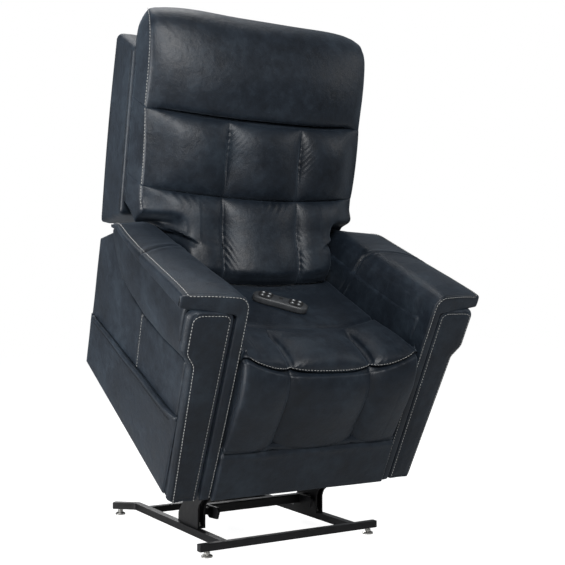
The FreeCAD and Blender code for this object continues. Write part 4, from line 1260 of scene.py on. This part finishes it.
# rear cloth
def rear_cloth():
    n, m = 60, 40
    x = np.linspace(-270, 270, n)
    z = np.linspace(10, 330, m)
    X, Z = np.meshgrid(x, z, indexing="ij")
    d = 2.2 * np.sin(X / 47.0) * np.sin(Z / 61.0) * np.sin(pi * (X + 270) / 540) * np.sin(pi * (Z - 10) / 320)
    F = np.stack([X, 644.5 + d, Z], -1)
    B = F - np.array([0, 1.2, 0])
    return shell("rear_dust_cloth", F, B, rings=1)


rear = rear_cloth()

# ------------------------------------------------------------ handset
def hs(P):
    P = np.asarray(P, float)
    a, b = radians(-38.5), radians(-4.0)
    x = P[..., 0] * cos(a) - P[..., 1] * sin(a)
    y = P[..., 0] * sin(a) + P[..., 1] * cos(a)
    z = P[..., 2]
    return np.stack([x - 16, y * cos(b) - z * sin(b) + 296, y * sin(b) + z * cos(b) + 399.154], -1)


def handset_piece():
    n, m = 72, 56
    u = -np.cos(np.linspace(0, pi, n))
    th = np.linspace(0, 2 * pi, m, endpoint=False)
    w = 26.0 * np.maximum(1 - np.abs(u) ** 7, 0) ** 0.36 * (1 - 0.05 * np.cos(u * pi) ** 2 * 0 - 0.05 * np.exp(-(u / 0.35) ** 2))
    hh = 12.0 * np.maximum(1 - np.abs(u) ** 9, 0) ** 0.32
    c, s_ = np.cos(th), np.sin(th)
    Y = w[:, None] * np.sign(c) * np.abs(c) ** 0.55
    Z = 12 + hh[:, None] * np.sign(s_) * np.abs(s_) ** 0.55
    X = np.broadcast_to((u * 78)[:, None], Y.shape)
    # a fine parting line between the two halves of the case
    part = np.exp(-((Z - 11.0) / 0.9) ** 2)
    Y = Y * (1 - 0.016 * part)
    P = hs(np.stack([X, Y, Z], -1))
    return make("handset_case", P.reshape(-1, 3), [list(f) for f in grid_faces(n, m, wrap=True)])


def icons():
    V, F = [], []
    def prism(pts, z0, z1):
        b = len(V)
        k = len(pts)
        for zz in (z0, z1):
            for p in pts:
                V.append((p[0], p[1], zz))
        F.append([b + i for i in range(k)][::-1])
        F.append([b + k + i for i in range(k)])
        for i in range(k):
            F.append([b + i, b + (i + 1) % k, b + k + (i + 1) % k, b + k + i])
    for xx in (-52.0, -34.0, 34.0, 52.0):
        for yy in (-10.5, 10.5):
            sg = 1 if yy > 0 else -1
            prism([(xx - 3.4, yy - sg * 0.6), (xx + 3.4, yy - sg * 0.6), (xx, yy + sg * 3.2)][::sg], 25.5, 25.95)
            prism([(xx - 2.6, yy - 2.4 * sg - 0.55), (xx + 2.6, yy - 2.4 * sg - 0.55), (xx + 2.6, yy - 2.4 * sg + 0.55), (xx - 2.6, yy - 2.4 * sg + 0.55)], 25.5, 25.95)
    ob = make("key_arrows", hs(np.array(V)), F)
    V2, F2 = [], []
    for cx, cy, rx, ry, z0, z1 in ((-43, 0, 20.5, 22.0, 23.2, 24.35), (43, 0, 20.5, 22.0, 23.2, 24.35), (0, 0, 6.0, 6.0, 23.2, 24.6)):
        k = 40
        b = len(V2)
        for rr, zz in ((1.0, z0), (1.0, z1 - 0.25), (0.975, z1), (0.6, z1), (0.2, z1)):
            for i in range(k):
                a = 2 * pi * i / k
                e = 0.62 if rx > 10 else 1.0
                V2.append((cx + rx * rr * np.sign(cos(a)) * abs(cos(a)) ** e, cy + ry * rr * np.sign(sin(a)) * abs(sin(a)) ** e, zz))
        for q in range(4):
            for i in range(k):
                F2.append([b + q * k + i, b + q * k + (i + 1) % k, b + (q + 1) * k + (i + 1) % k, b + (q + 1) * k + i])
        F2.append([b + i for i in range(k)][::-1])
        F2.append([b + 4 * k + i for i in range(k)])
    ob2 = make("key_fields", hs(np.array(V2)), F2, sharp=40)
    return ob, ob2


case = handset_piece()
arrows, fields = icons()
finish_piece(case, "handset", HANDSET, ["handset_body"])
finish_piece(arrows, "handset", MARK)
finish_piece(fields, "handset", PLASTIC)

# ------------------------------------------------------------ body and nodes
finish_piece(head, "back", LEATHER, ["head_cushion"])
finish_piece(mid, "back", LEATHER, ["mid_cushion"])
finish_piece(low, "back", LEATHER, ["lumbar_cushion"])
finish_piece(outer, "back", LEATHER, ["back_shell"])
finish_piece(seat, "chair", LEATHER, ["seat_cushion"])
finish_piece(pad, "footrest", LEATHER, ["footrest_pad"])
finish_piece(kick, "chair", LEATHER, ["kickboard"])
for o, nds in ((armL, ["arm_cap_left"]), (armR, ["arm_cap_right"]), (fpL, ["front_panel_left"]), (fpR, ["front_panel_right"]),
               (spL, ["side_panel_left"]), (spR, ["side_panel_right"]), (lfL, []), (lfR, []),
               (coL, ["arm_frame_left"]), (coR, ["arm_frame_right"]), (ipL, ["inner_pad_left"]), (ipR, ["inner_pad_right"])):
    finish_piece(o, "chair", LEATHER, nds)
finish_piece(pocket, "chair", LEATHER, ["side_pocket"])
finish_piece(hem, "chair", LEATHER, [])
finish_piece(rear, "chair", CLOTH, ["rear_cover"])
for (body, tone), (V, Fc) in threads.items():
    ob = make("thread_%s_%s" % (body, tone), np.array(V), Fc)
    finish_piece(ob, body, THREAD if tone == "stitch" else PLASTIC)

# ------------------------------------------------------- camera, light, floor
cam = bpy.data.cameras.new("camera")
co = bpy.data.objects.new("camera", cam)
scene.collection.objects.link(co)
az, pt = radians(31.174), radians(0.978)
fwd = Vector((sin(az) * cos(pt), cos(az) * cos(pt), sin(pt)))
co.location = Vector((-1450.53, -2340.66 - MID, 667.71)) / 1000
co.rotation_euler = fwd.to_track_quat("-Z", "Y").to_euler()
cam.sensor_width = 36.0
cam.lens = 36.0 * 1008.72 / 565.0
cam.clip_end = 60
scene.camera = co

fl = bpy.data.meshes.new("floor")
fl.from_pydata([(-9, -9, 0), (9, -9, 0), (9, 9, 0), (-9, 9, 0)], [], [(0, 1, 2, 3)])
flo = bpy.data.objects.new("floor", fl)
scene.collection.objects.link(flo)
fm = solid("pale_floor", (0.42, 0.42, 0.42), 0.8, var=0.01, scale=3, bump=0.02)
fl.materials.append(fm)
ft = fm.node_tree
fo = [n for n in ft.nodes if n.type == "OUTPUT_MATERIAL"][0]
fb = [n for n in ft.nodes if n.type == "BSDF_PRINCIPLED"][0]
fb.inputs["Specular IOR Level"].default_value = 0.15
em = ft.nodes.new("ShaderNodeEmission")
em.inputs[0].default_value = (1, 1, 1, 1)
flp = ft.nodes.new("ShaderNodeLightPath")
fmul = ft.nodes.new("ShaderNodeMath")
fmul.operation = "MULTIPLY"
fmul.inputs[1].default_value = 0.93
ft.links.new(flp.outputs["Is Camera Ray"], fmul.inputs[0])
ft.links.new(fmul.outputs[0], em.inputs[1])
fa = ft.nodes.new("ShaderNodeAddShader")
ft.links.new(fb.outputs[0], fa.inputs[0])
ft.links.new(em.outputs[0], fa.inputs[1])
ft.links.new(fa.outputs[0], fo.inputs[0])

w = bpy.data.worlds.new("world")
scene.world = w
w.use_nodes = True
wt = w.node_tree
bg = wt.nodes["Background"]
bg.inputs[0].default_value = (0.90, 0.95, 1.0, 1)
bg.inputs[1].default_value = 0.17
bg2 = wt.nodes.new("ShaderNodeBackground")
bg2.inputs[0].default_value = (1, 1, 1, 1)
bg2.inputs[1].default_value = 1.0
lp = wt.nodes.new("ShaderNodeLightPath")
ms = wt.nodes.new("ShaderNodeMixShader")
wt.links.new(lp.outputs["Is Camera Ray"], ms.inputs[0])
wt.links.new(bg.outputs[0], ms.inputs[1])
wt.links.new(bg2.outputs[0], ms.inputs[2])
wt.links.new(ms.outputs[0], wt.nodes["World Output"].inputs[0])


def area(name, loc, target, size, power, col=(1, 1, 1)):
    l = bpy.data.lights.new(name, "AREA")
    l.shape = "RECTANGLE"
    l.size, l.size_y = size
    l.energy = power
    l.color = col
    o = bpy.data.objects.new(name, l)
    scene.collection.objects.link(o)
    o.location = loc
    o.rotation_euler = (Vector(target) - Vector(loc)).to_track_quat("-Z", "Y").to_euler()
    return o


area("key_left", (-3.3, -0.1, 0.8), (0, 0, 0.7), (1.3, 1.4), 100)
area("front", (-0.9, -2.1, 1.95), (0, 0, 1.15), (0.9, 0.9), 50)
area("top", (0.0, 0.8, 3.3), (0, 0, 0.6), (1.6, 1.6), 24)
area("right_soft", (2.8, -1.4, 2.2), (0, 0, 0.7), (1.2, 1.2), 9)
area("back", (0.8, 3.2, 2.2), (0, 0, 0.8), (1.4, 1.4), 40)
scene.view_settings.view_transform = "Standard"
